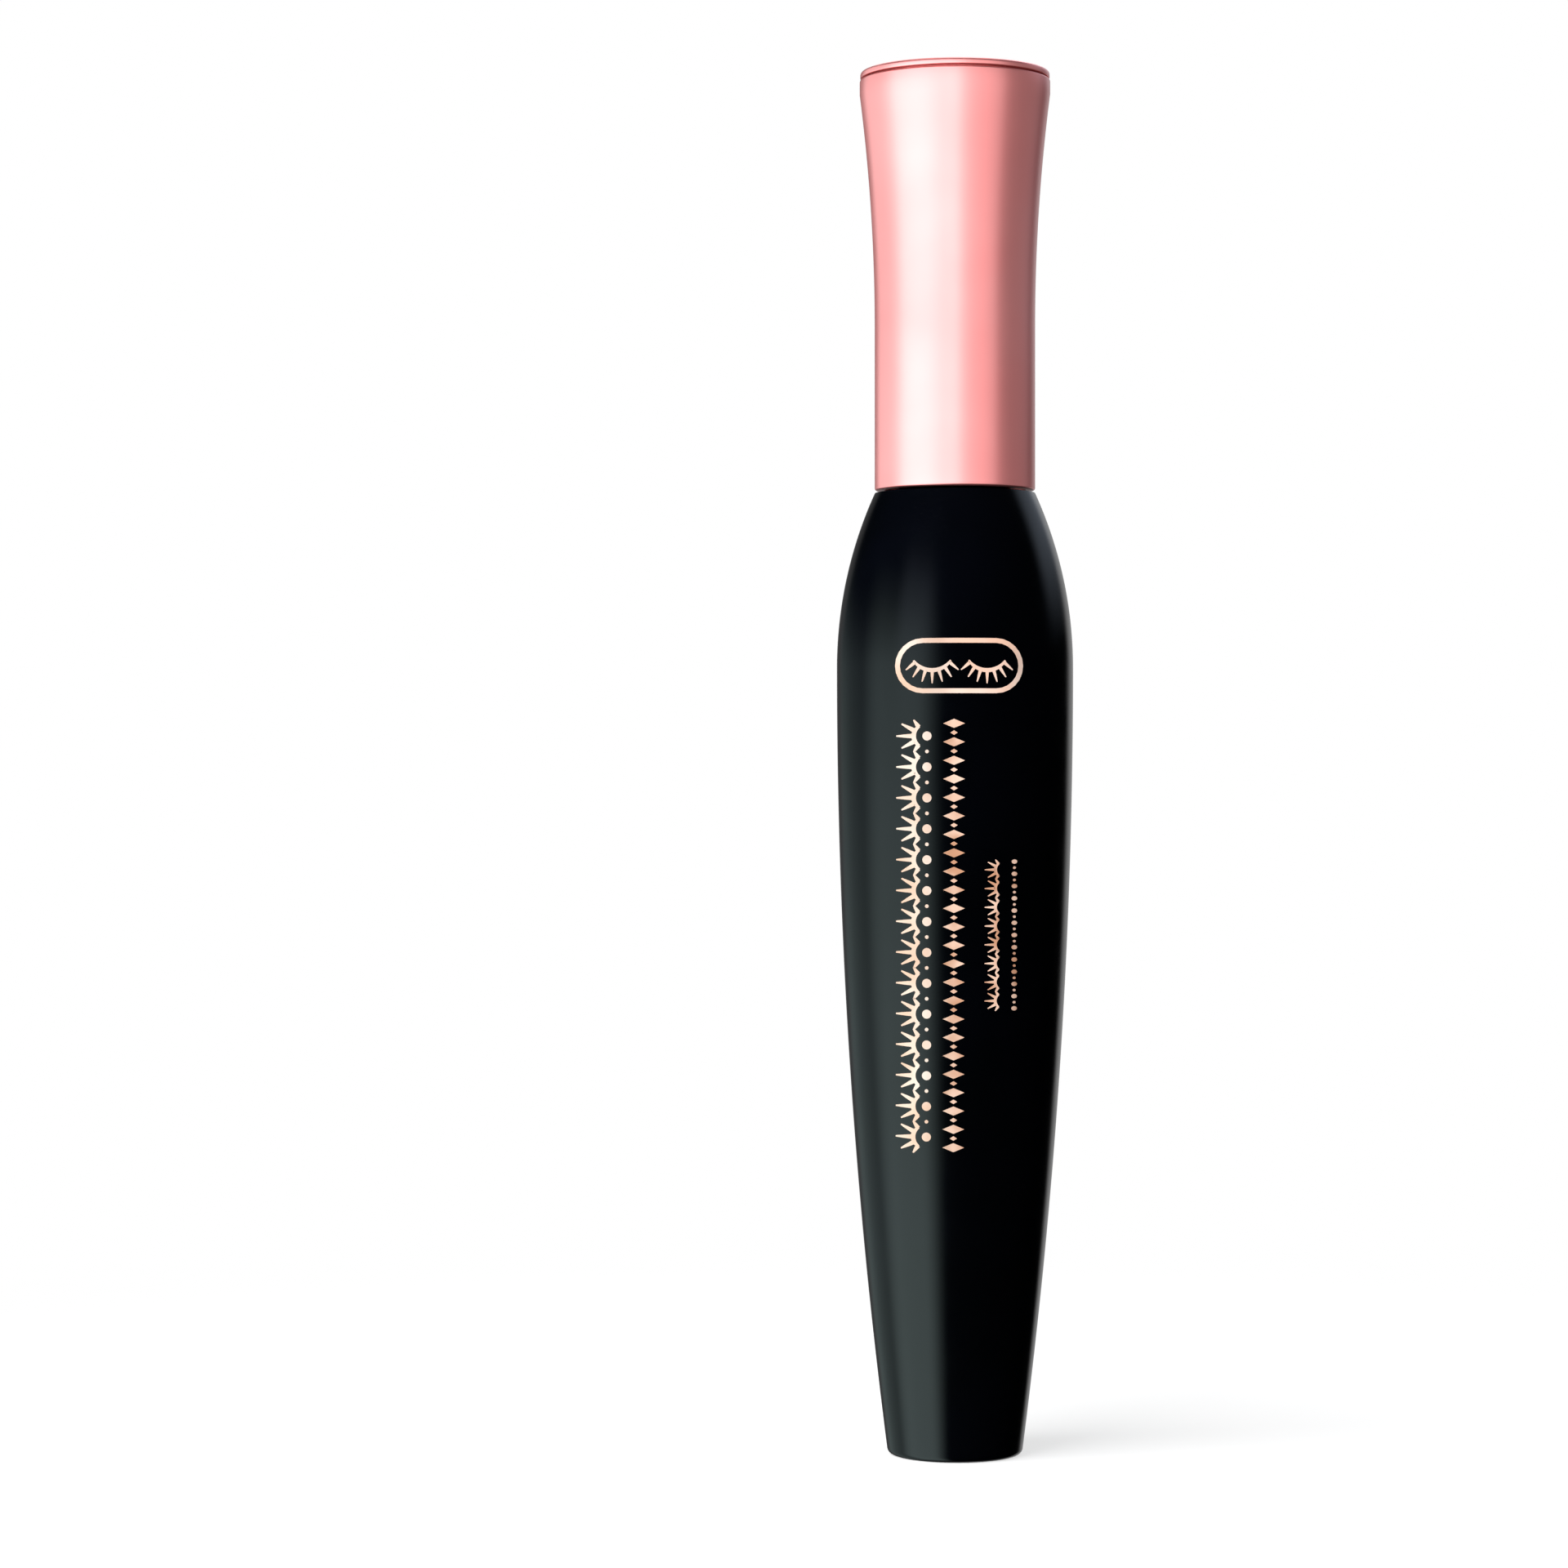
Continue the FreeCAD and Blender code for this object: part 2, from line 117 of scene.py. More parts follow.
class Pattern(Enum):
    """What the fine structure of a surface looks like."""

    ORANGE_PEEL = "moulded or lacquered skin, with shallow rounded dimples"
    FLOW = "moulded skin, with faint streaks along the tube"
    CELLS = "closed foam cells"
    FIBRES = "matted paper fibres"
    RIPPLES = "slow soft waves of a thick paste"


@dataclass(frozen=True)
class Finish:
    """A surface: what it is made of, and the fine pattern that its making leaves.

    Args:
        name: The material's name.
        slot: The record's material slot that the finish belongs to; not used.
        colour: sRGB hex colour.
        second: sRGB hex colour that the first drifts to in soft patches.
        drift_mm: Size of those patches.
        roughness: Mean roughness.
        swing: How far the roughness goes either side of its mean.
        pattern: The kind of fine structure.
        grain_mm: Size of the fine structure.
        depth_mm: Height of the fine structure.
        metallic: 1 for metal, 0 for the rest.
        ior: Index of refraction; metals keep the default.
        coat: Weight of a clear lacquer over the surface.
        coat_roughness: Roughness of that lacquer.
        waxy: Share of light that travels under the surface.
        waxy_mm: How far it travels.
    """

    name: str
    slot: str
    colour: str
    second: str
    roughness: float
    pattern: Pattern
    grain_mm: float
    depth_mm: float
    drift_mm: float = 12.0
    swing: float = 0.03
    metallic: float = 0.0
    ior: float = 1.5
    coat: float = 0.0
    coat_roughness: float = 0.05
    waxy: float = 0.0
    waxy_mm: float = 1.0

    def build(self) -> bpy.types.Material:
        """Makes the material, or finds it if it is already made.

        Returns:
            The material.
        """
        made = bpy.data.materials.get(self.name)
        if made:
            return made
        material = bpy.data.materials.new(self.name)
        material.use_nodes = True
        tree = material.node_tree
        inputs = tree.nodes["Principled BSDF"].inputs
        plain = {"Metallic": self.metallic, "IOR": self.ior, "Coat Weight": self.coat,
                 "Coat Roughness": self.coat_roughness, "Subsurface Weight": self.waxy,
                 "Subsurface Scale": self.waxy_mm * MM}
        for label, value in plain.items():
            inputs[label].default_value = value
        add = partial(add_node, tree)
        place = add("ShaderNodeTexCoord").outputs["Object"]
        tree.links.new(self._colour(add, place), inputs["Base Color"])
        tree.links.new(self._roughness(add, place), inputs["Roughness"])
        tree.links.new(self._relief(add, place), inputs["Normal"])
        return material

    def _colour(self, add: partial, place: Socket) -> Socket:
        """Lets the colour drift between its two tones in soft patches.

        Args:
            add: Adds a node to the material.
            place: Object coordinates.

        Returns:
            The colour.
        """
        patches = add(NOISE, None, {
            "Vector": place, "Scale": 1 / (self.drift_mm * MM), "Detail": 2.0, "Roughness": 0.5})
        share = add(RANGE, SMOOTH, {"Value": patches, "From Min": 0.35, "From Max": 0.65})
        return add("ShaderNodeMix", {"data_type": "RGBA"}, {
            0: share, 6: linear(self.colour), 7: linear(self.second)}).outputs[2]

    def _roughness(self, add: partial, place: Socket) -> Socket:
        """Lets the roughness vary a little, as handling and moulding leave it.

        Args:
            add: Adds a node to the material.
            place: Object coordinates.

        Returns:
            The roughness.
        """
        haze = add(NOISE, None, {
            "Vector": place, "Scale": HAZE_FINER / (self.drift_mm * MM), "Detail": 4.0})
        return add(RANGE, None, {
            "Value": haze, "From Min": 0.3, "From Max": 0.7,
            "To Min": self.roughness - self.swing,
            "To Max": self.roughness + self.swing}).outputs[0]

    def _relief(self, add: partial, place: Socket) -> Socket:
        """Makes the fine structure as a bump of its real height.

        Args:
            add: Adds a node to the material.
            place: Object coordinates.

        Returns:
            The bumped normal.
        """
        scale = 1 / (self.grain_mm * MM)
        if self.pattern is Pattern.CELLS:
            height = add("ShaderNodeTexVoronoi", None, {"Vector": place, "Scale": scale})
        else:
            stretch = {Pattern.FLOW: (1.0, 1.0, 0.06), Pattern.FIBRES: (1.0, 0.25, 1.0)}
            shaped = add("ShaderNodeMapping", None, {
                "Vector": place, "Scale": stretch.get(self.pattern, (1.0, 1.0, 1.0))})
            height = add(NOISE, None, {
                "Vector": shaped, "Scale": scale,
                "Detail": 6.0 if self.pattern is Pattern.FIBRES else 1.0})
        return add("ShaderNodeBump", None, {
            "Strength": 1.0, "Distance": self.depth_mm * MM, "Height": height}).outputs[0]


# Vacuum-metallised ABS under pink lacquer: a satin metal with a soft, wide highlight.
PINK_METAL = Finish("metallised_abs_pink_lacquer", "cap_pink_metallised", "F99998", "FA9F9E", 0.42,
                    Pattern.ORANGE_PEEL, 0.9, 0.0012, swing=0.012, metallic=1.0, coat=0.7,
                    coat_roughness=0.24)
# Blow-moulded PETG, dyed black: glossy, with a soft edge to what it mirrors.
BLACK_BOTTLE = Finish("blow_moulded_petg_black", "bottle_black_gloss", "020305", "030408", 0.17,
                      Pattern.ORANGE_PEEL, 1.6, 0.0012, ior=1.5)
# Hot-stamped foil: a very thin metal film that follows the plastic's own skin.
# The first of these is the rose-gold foil made lighter and creamier, a painted highlight, used for
# the badge and the rows on the left; the second is the foil's own rose gold.
FOIL_PAINTED_HIGHLIGHT = Finish("hot_stamped_foil_cream_gold", "foil_rose_gold", "FDE1D2", "F1C3AA", 0.34,
                    Pattern.ORANGE_PEEL, 0.5, 0.002, drift_mm=5.0, metallic=0.5)
ROSE_FOIL = Finish("hot_stamped_foil_rose_gold", "foil_rose_gold", "FAD3BC", "D39A78", 0.34,
                   Pattern.ORANGE_PEEL, 0.5, 0.002, drift_mm=3.0, metallic=0.5)
# Acetal from a polished mould: dense black, with a thin oily film that brightens its highlight.
BLACK_ROD = Finish("moulded_acetal_black", "rod_black", "060709", "08090C", 0.2,
                   Pattern.FLOW, 0.5, 0.001, ior=1.48, coat=1.0, coat_roughness=0.12)
# Moulded polypropylene, black: duller than the bottle, with flow streaks.
BLACK_INNER = Finish("moulded_polypropylene_black", "inner_cap_black", "0B0B0C", "101012", 0.38,
                     Pattern.FLOW, 0.7, 0.004, ior=1.49)
# Low-density polyethylene, undyed: waxy and slightly see-through.
NATURAL_WIPER = Finish("moulded_ldpe_natural", "wiper_natural", "D9D6CE", "E2DFD8", 0.42,
                       Pattern.ORANGE_PEEL, 0.6, 0.003, ior=1.51, waxy=0.5, waxy_mm=1.2)
# Expanded polyethylene liner: soft white with tiny closed cells.
FOAM_RING = Finish("expanded_polyethylene_white", "gasket_white", "E6E4DE", "EEECE7", 0.7,
                   Pattern.CELLS, 0.18, 0.02, waxy=0.3, waxy_mm=0.6)
# Wax-and-pigment paste: wet black with slow ripples.
PASTE = Finish("wax_pigment_paste_black", "paste_black", "040405", "08080A", 0.24,
               Pattern.RIPPLES, 2.2, 0.12, coat=0.4)
# Uncoated paper label: matt, faintly fibrous.
PAPER = Finish("uncoated_paper_cream", "label_paper", "E9E3D6", "E1DACB", 0.85,
               Pattern.FIBRES, 0.25, 0.01, drift_mm=2.0)
# Drawn stainless wire: bright grey with fine drawing lines.
STEEL_WIRE = Finish("drawn_stainless_wire", "wire_steel", "A9A9AD", "8F8F95", 0.3,
                    Pattern.FLOW, 0.08, 0.002, drift_mm=2.0, metallic=1.0)
# Extruded nylon filament, dyed black: each fibre has a thin bright line along it.
NYLON = Finish("extruded_nylon_black", "bristle_black", "060607", "0B0B0D", 0.34,
               Pattern.FLOW, 0.2, 0.002, drift_mm=3.0, ior=1.53)


# ---- outlines -----------------------------------------------------------------------------------

def tangent_radius(rise: float, run: float) -> float:
    """Works out the radius of an arc that leaves the vertical and goes run sideways over rise."""
    return (rise ** 2 + run ** 2) / (2 * run)


@dataclass
class Outline:
    """A closed outline in the plane of the axis, drawn corner by corner in millimetres.

    Each stored corner is a radius, a level and the size of the rounding there.
    """

    corners: list[tuple[float, float, float]] = field(default_factory=list)

    def to(self, radius: float, level: float, rounding: float = 0.0) -> "Outline":
        """Goes straight to a corner, which gets a rounding.

        Args:
            radius: Distance from the axis.
            level: Height.
            rounding: Radius of the rounded corner.

        Returns:
            The outline itself.
        """
        self.corners.append((radius, level, rounding))
        return self

    def bulge(self, radius: float, level: float, bend: float, side: int, steps: int) -> "Outline":
        """Goes to a corner along an arc.

        Args:
            radius: Distance of the arc's end from the axis.
            level: Height of the arc's end.
            bend: Radius of the arc.
            side: LEFT or RIGHT of the way, where the arc's centre lies.
            steps: Number of edges that the arc is made of.

        Returns:
            The outline itself.
        """
        start = Vector(self.corners[-1][:2])
        end = Vector((radius, level))
        along = end - start
        left = Vector((-along.y, along.x)).normalized()
        height = math.sqrt(max(bend ** 2 - (along.length / 2) ** 2, 0.0))
        centre = (start + end) / 2 + left * height * side
        first = math.atan2(start.y - centre.y, start.x - centre.x)
        turn = (math.atan2(end.y - centre.y, end.x - centre.x) - first) * side % math.tau * side
        for step in range(1, steps + 1):
            angle = first + turn * step / steps
            spot = centre + Vector((math.cos(angle), math.sin(angle))) * bend
            self.corners.append((spot.x, spot.y, 0.0))
        return self

    def points(self) -> list[Place]:
        """Gives the outline's points, with its corners rounded and its first point repeated.

        Returns:
            The points in metres, in the XZ plane.
        """
        made: list[Vector] = []
        count = len(self.corners)
        for index, (radius, level, rounding) in enumerate(self.corners):
            here = Vector((radius, level))
            if rounding <= 0:
                made.append(here)
                continue
            back = Vector(self.corners[index - 1][:2]) - here
            ahead = Vector(self.corners[(index + 1) % count][:2]) - here
            half = back.angle(ahead) / 2
            reach = min(rounding / math.tan(half), CORNER_SHARE * back.length,
                        CORNER_SHARE * ahead.length)
            bow = reach * math.tan(half)
            centre = here + (back.normalized() + ahead.normalized()).normalized() * (
                bow / math.sin(half))
            start = here + back.normalized() * reach - centre
            end = here + ahead.normalized() * reach - centre
            made += [centre + start.slerp(end, step / CORNER_STEPS) * bow
                     for step in range(CORNER_STEPS + 1)]
        return [(spot.x * MM, 0.0, spot.y * MM) for spot in [*made, made[0]]]


# ---- geometry node trees ------------------------------------------------------------------------

class ShapeTree:
    """A Geometry Nodes tree with named inputs, and what puts it on an object.

    Args:
        name: The tree's name.
        sizes: Name of each input and its socket type.
    """

    name = "shape"
    sizes: dict[str, str] = {}

    def __init__(self) -> None:
        """Makes the tree's interface and lets the subclass fill it."""
        self.tree = bpy.data.node_groups.new(self.name, "GeometryNodeTree")
        inputs = {"Geometry": "Geometry", **self.sizes, "Material": "Material"}
        for label, kind in inputs.items():
            self.tree.interface.new_socket(label, in_out="INPUT", socket_type=f"NodeSocket{kind}")
        self.tree.interface.new_socket("Geometry", in_out="OUTPUT",
                                       socket_type="NodeSocketGeometry")
        self.add = partial(add_node, self.tree)
        self.given = self.add("NodeGroupInput").outputs
        real = self.add("GeometryNodeRealizeInstances", None, (self.fill(),))
        dressed = self.add("GeometryNodeSetMaterial", None, {
            "Geometry": real, "Material": self.given["Material"]})
        self.add("NodeGroupOutput", None, (dressed,))

    def fill(self) -> Link:
        """Builds the shape and returns the node that ends it."""
        raise NotImplementedError

    def group(self, index: Link, size: Link) -> Link:
        """Tells which group of equal size an index falls in.

        Args:
            index: The index, from 0.
            size: Number of members of each group.

        Returns:
            The group's number, from 0.
        """
        middle = self.add(MATH, "ADD", (index, 0.5))
        return self.add(MATH, "FLOOR", (self.add(MATH, "DIVIDE", (middle, size)),))

    def on_circle(self, radius: Link, angle: Link, level: Link) -> Link:
        """Finds a place by its distance from the Z axis, its angle and its level.

        Args:
            radius: Distance from the axis.
            angle: Angle round the axis, from +X.
            level: Height.

        Returns:
            The place.
        """
        across = [self.add(MATH, "MULTIPLY", (radius, self.add(MATH, way, (angle,))))
                  for way in ("COSINE", "SINE")]
        return self.add(JOIN, None, (*across, level))

    def spots(self, count: Link) -> Link:
        """Makes a number of points, all at the origin."""
        return self.add("GeometryNodeMeshLine", None, {"Count": count, "Offset": ORIGIN})

    def round_axis(self, shape: Link, count: Link) -> Link:
        """Repeats a shape in equal steps round the Z axis.

        Args:
            shape: What is repeated.
            count: Number of copies.

        Returns:
            The copies.
        """
        index = self.add("GeometryNodeInputIndex")
        step = self.add(MATH, "DIVIDE", (math.tau, count))
        turned = self.add(JOIN, None, (0.0, 0.0, self.add(MATH, "MULTIPLY", (index, step))))
        return self.add("GeometryNodeInstanceOnPoints", None, {
            "Points": self.spots(count), "Instance": shape, "Rotation": turned})

    def put_on(self, piece: bpy.types.Object, finish: Finish, **values: object) -> None:
        """Adds the tree to a piece as a modifier.

        Args:
            piece: The piece that gets the modifier.
            finish: The finish of what the tree makes.
            values: The inputs, by name with underscores for spaces.
        """
        modifier = piece.modifiers.new(self.name, "NODES")
        modifier.node_group = self.tree
        values["Material"] = finish.build()
        for item in self.tree.interface.items_tree:
            key = item.name.replace(" ", "_")
            if item.in_out == "INPUT" and key in values:
                modifier[item.identifier] = values[key]


class TurnedTree(ShapeTree):
    """Turns an outline about the Z axis, as a lathe would."""

    name = "turned_shape"
    sizes = {"Segments": "Int", "Sharp Angle": "Float"}

    def fill(self) -> Link:
        """Bends a grid into rings, one column of the grid for each step of the turn.

        Returns:
            The turned shape, with sharp edges where it bends sharply.
        """
        given, add = self.given, self.add
        rows = add("GeometryNodeAttributeDomainSize", None, (given["Geometry"],)).outputs[
            "Point Count"]
        grid = add("GeometryNodeMeshGrid", None, {
            "Vertices X": add(MATH, "ADD", (given["Segments"], 1.0)), "Vertices Y": rows})
        index = add("GeometryNodeInputIndex")
        spot = add("GeometryNodeSampleIndex", {"data_type": "FLOAT_VECTOR"}, {
            "Geometry": given["Geometry"], "Value": add("GeometryNodeInputPosition"),
            "Index": add(MATH, "MODULO", (index, rows))})
        parts = add(SPLIT, None, (spot,)).outputs
        step = add(MATH, "DIVIDE", (math.tau, given["Segments"]))
        angle = add(MATH, "MULTIPLY", (self.group(index, rows), step))
        bent = add("GeometryNodeSetPosition", None, {
            "Geometry": grid, "Position": self.on_circle(parts["X"], angle, parts["Z"])})
        closed = add("GeometryNodeMergeByDistance", None, {"Geometry": bent, "Distance": WELD})
        smooth = add("GeometryNodeSetShadeSmooth", {"domain": "FACE"}, {
            "Geometry": closed, "Shade Smooth": True})
        bend = add("GeometryNodeInputMeshEdgeAngle").outputs["Unsigned Angle"]
        sharp = add("FunctionNodeCompare", "GREATER_THAN", (bend, given["Sharp Angle"]))
        return add("GeometryNodeSetShadeSmooth", {"domain": "EDGE"}, {
            "Geometry": smooth, "Selection": sharp, "Shade Smooth": False})


class ThreadTree(ShapeTree):
    """Winds a thread row up the Z axis, with both ends running out to a point.

    Args:
        steps: Number of steps along the row.
        run_out: Share of the row over which each end runs out.
    """

    name = "thread_row"
    sizes = {"Root Radius": "Float", "Depth": "Float", "Embed": "Float", "Root Half": "Float",
             "Crest Half": "Float", "Level": "Float", "Lead": "Float", "Turns": "Float"}
    steps = 220
    run_out = 0.07

    def fill(self) -> Link:
        """Sweeps the row's four-cornered section, as a closed tube of five columns by many rows.

        Corners 0 and 3 are at the root, 1 and 2 at the crest; 2 and 3 are the upper ones.

        Returns:
            The row.
        """
        given, add = self.given, self.add
        grid = add("GeometryNodeMeshGrid", None, {"Vertices X": self.steps + 1, "Vertices Y": 5})
        index = add("GeometryNodeInputIndex")
        corner = add(MATH, "MODULO", (add(MATH, "MODULO", (index, 5.0)), 4.0))
        along = add(MATH, "DIVIDE", (self.group(index, 5.0), float(self.steps)))
        is_crest = add(MATH, "MULTIPLY", (add(MATH, "GREATER_THAN", (corner, 0.5)),
                                          add(MATH, "LESS_THAN", (corner, 2.5))))
        is_upper = add(MATH, "GREATER_THAN", (corner, 1.5))
        from_end = add(MATH, "MINIMUM", (along, add(MATH, "SUBTRACT", (1.0, along))))
        fade = add(RANGE, SMOOTH, {"Value": from_end, "From Min": 0.0, "From Max": self.run_out})
        foot = add(MATH, "SUBTRACT", (given["Root Radius"], given["Embed"]))
        crest = add(MATH, "ADD", (given["Root Radius"], given["Depth"]))
        height = add(MATH, "MULTIPLY", (fade, add(MATH, "SUBTRACT", (crest, foot))))
        radius = add(MATH, "ADD", (foot, add(MATH, "MULTIPLY", (is_crest, height))))
        narrower = add(MATH, "SUBTRACT", (given["Crest Half"], given["Root Half"]))
        half = add(MATH, "ADD", (given["Root Half"], add(MATH, "MULTIPLY", (is_crest, narrower))))
        way = add(MATH, "SUBTRACT", (add(MATH, "MULTIPLY", (is_upper, 2.0)), 1.0))
        half = add(MATH, "MULTIPLY", (add(MATH, "MULTIPLY", (half, fade)), way))
        turn = add(MATH, "MULTIPLY", (along, given["Turns"]))
        rise = add(MATH, "MULTIPLY", (turn, given["Lead"]))
        level = add(MATH, "ADD", (add(MATH, "ADD", (given["Level"], rise)), half))
        place = self.on_circle(radius, add(MATH, "MULTIPLY", (turn, math.tau)), level)
        swept = add("GeometryNodeSetPosition", None, {"Geometry": grid, "Position": place})
        return add("GeometryNodeMergeByDistance", None, {"Geometry": swept, "Distance": WELD})


class TwistTree(ShapeTree):
    """Twists strands of wire round each other about the Z axis.

    Args:
        points: Number of points along a strand.
        sides: Number of sides of its round section.
    """

    name = "twisted_strands"
    sizes = {"Strands": "Int", "Strand Radius": "Float", "Twist Radius": "Float",
             "Bottom": "Float", "Top": "Float", "Pitch": "Float"}
    points = 360
    sides = 14

    def fill(self) -> Link:
        """Bends a line into a helix, gives it a round section and repeats it round the axis.

        Returns:
            The strands.
        """
        given, add = self.given, self.add
        line = add("GeometryNodeCurvePrimitiveLine", None, {
            "Start": ORIGIN, "End": (0.0, 0.0, 1.0)})
        fine = add("GeometryNodeResampleCurve", None, {"Curve": line, "Count": self.points})
        share = add("GeometryNodeSplineParameter").outputs["Factor"]
        rise = add(MATH, "SUBTRACT", (given["Top"], given["Bottom"]))
        height = add(MATH, "MULTIPLY", (share, rise))
        angle = add(MATH, "MULTIPLY", (add(MATH, "DIVIDE", (height, given["Pitch"])), math.tau))
        place = self.on_circle(given["Twist Radius"], angle,
                               add(MATH, "ADD", (given["Bottom"], height)))
        helix = add("GeometryNodeSetPosition", None, {"Geometry": fine, "Position": place})
        section = add("GeometryNodeCurvePrimitiveCircle", None, {
            "Resolution": self.sides, "Radius": given["Strand Radius"]})
        strand = add("GeometryNodeCurveToMesh", None, {
            "Curve": helix, "Profile Curve": section, "Fill Caps": True})
        return self.round_axis(strand, given["Strands"])


class FibreTree(ShapeTree):
    """Plants fibres along a twisted wire: each pair of rows winds with the wire's pitch.

    Args:
        shortest: Length of the shortest fibre of a row, as a share of the longest.
        tip: A fibre's radius at its free end, as a share of the radius at its root.
        clump_mm: Size of the clumps that the free ends form.
    """

    name = "brush_fibres"
    sizes = {"Count": "Int", "Bottom": "Float", "Top": "Float", "Pitch": "Float",
             "Radius": "Float", "Tip Radius": "Float", "Taper Level": "Float",
             "Fibre Radius": "Float", "Spread": "Float", "Lean": "Float", "Bend": "Float",
             "Shortening": "Float", "Seed": "Int"}
    shortest = 0.93
    tip = 0.6
    clump_mm = 0.55

    def fill(self) -> Link:
        """Sets one thin cone for each fibre, then bends neighbours alike so that they clump.

        Every third fibre is short and lies anywhere round the wire, so that the core is full.

        Returns:
            The fibres.
        """
        given, add = self.given, self.add
        index = add("GeometryNodeInputIndex")
        side = add(MATH, "MODULO", (index, 2.0))
        short = add(MATH, "LESS_THAN", (add(MATH, "MODULO", (index, 3.0)), 0.5))
        rise = add(MATH, "SUBTRACT", (given["Top"], given["Bottom"]))
        share = add(MATH, "DIVIDE", (index, given["Count"]))
        level = add(MATH, "ADD", (given["Bottom"], add(MATH, "MULTIPLY", (share, rise))))
        winding = add(MATH, "MULTIPLY", (add(MATH, "DIVIDE", (level, given["Pitch"])), math.tau))
        row = add(MATH, "ADD", (winding, add(MATH, "MULTIPLY", (side, math.pi))))
        anywhere = add(MATH, "MULTIPLY", (short, math.pi / 2))
        jitter = self._either_way(index, 1, add(MATH, "MAXIMUM", (given["Spread"], anywhere)))
        lean = self._either_way(index, 2, given["Lean"])
        reach = add(RANGE, None, {
            "Value": level, "From Min": given["Bottom"], "From Max": given["Taper Level"],
            "To Min": given["Tip Radius"], "To Max": given["Radius"]})
        uneven = add(MATH, "MULTIPLY", (reach, self._random(index, 3, self.shortest, 1.0)))
        kept = add(MATH, "SUBTRACT", (1.0, add(MATH, "MULTIPLY", (short, given["Shortening"]))))
        thin = given["Fibre Radius"]
        cone = add("GeometryNodeMeshCone", None, {
            "Vertices": 3, "Side Segments": 2, "Radius Top": self.tip, "Radius Bottom": 1.0,
            "Depth": 1.0})
        planted = add("GeometryNodeInstanceOnPoints", None, {
            "Points": add("GeometryNodeSetPosition", None, {
                "Geometry": self.spots(given["Count"]),
                "Position": add(JOIN, None, (0.0, 0.0, level))}),
            "Instance": cone.outputs["Mesh"],
            "Rotation": add(JOIN, None, (0.0, add(MATH, "ADD", (lean, math.pi / 2)),
                                         add(MATH, "ADD", (row, jitter)))),
            "Scale": add(JOIN, None, (thin, thin, add(MATH, "MULTIPLY", (uneven, kept))))})
        return self._clump(add("GeometryNodeRealizeInstances", None, (planted,)))

    def _random(self, index: Link, draw: int, low: Link, high: Link) -> Link:
        """Draws a random number for each fibre.

        Args:
            index: The fibre's number.
            draw: Which draw of the seed it is, so that no two draws are alike.
            low: Lowest value.
            high: Highest value.

        Returns:
            The number.
        """
        seed = self.add(MATH, "ADD", (self.given["Seed"], float(draw)))
        return self.add("FunctionNodeRandomValue", {"data_type": "FLOAT"}, {
            2: low, 3: high, "ID": index, "Seed": seed}).outputs[1]

    def _either_way(self, index: Link, draw: int, most: Link) -> Link:
        """Draws a random number between minus and plus a most."""
        return self._random(index, draw, self.add(MATH, "MULTIPLY", (most, -1.0)), most)

    def _clump(self, fibres: Link) -> Link:
        """Moves the fibres' free ends by a slow noise that grows with the distance from the wire.

        Args:
            fibres: The straight fibres.

        Returns:
            The bent fibres.
        """
        add = self.add
        position = add("GeometryNodeInputPosition")
        parts = add(SPLIT, None, (position,)).outputs
        squares = [add(MATH, "POWER", (parts[axis], 2.0)) for axis in "XY"]
        away = add(MATH, "SQRT", (add(MATH, "ADD", tuple(squares)),))
        share = add(MATH, "POWER", (add(MATH, "DIVIDE", (away, self.given["Radius"])), 2.0))
        noise = add(NOISE, None, {
            "Vector": position, "Scale": 1 / (self.clump_mm * MM), "Detail": 1.0})
        centred = add(VECTOR, "SUBTRACT", (noise.outputs["Color"], (0.5, 0.5, 0.5)))
        amount = add(MATH, "MULTIPLY", (share, self.given["Bend"]))
        return add("GeometryNodeSetPosition", None, {
            "Geometry": fibres, "Offset": add(VECTOR, "SCALE", {0: centred, "Scale": amount})})


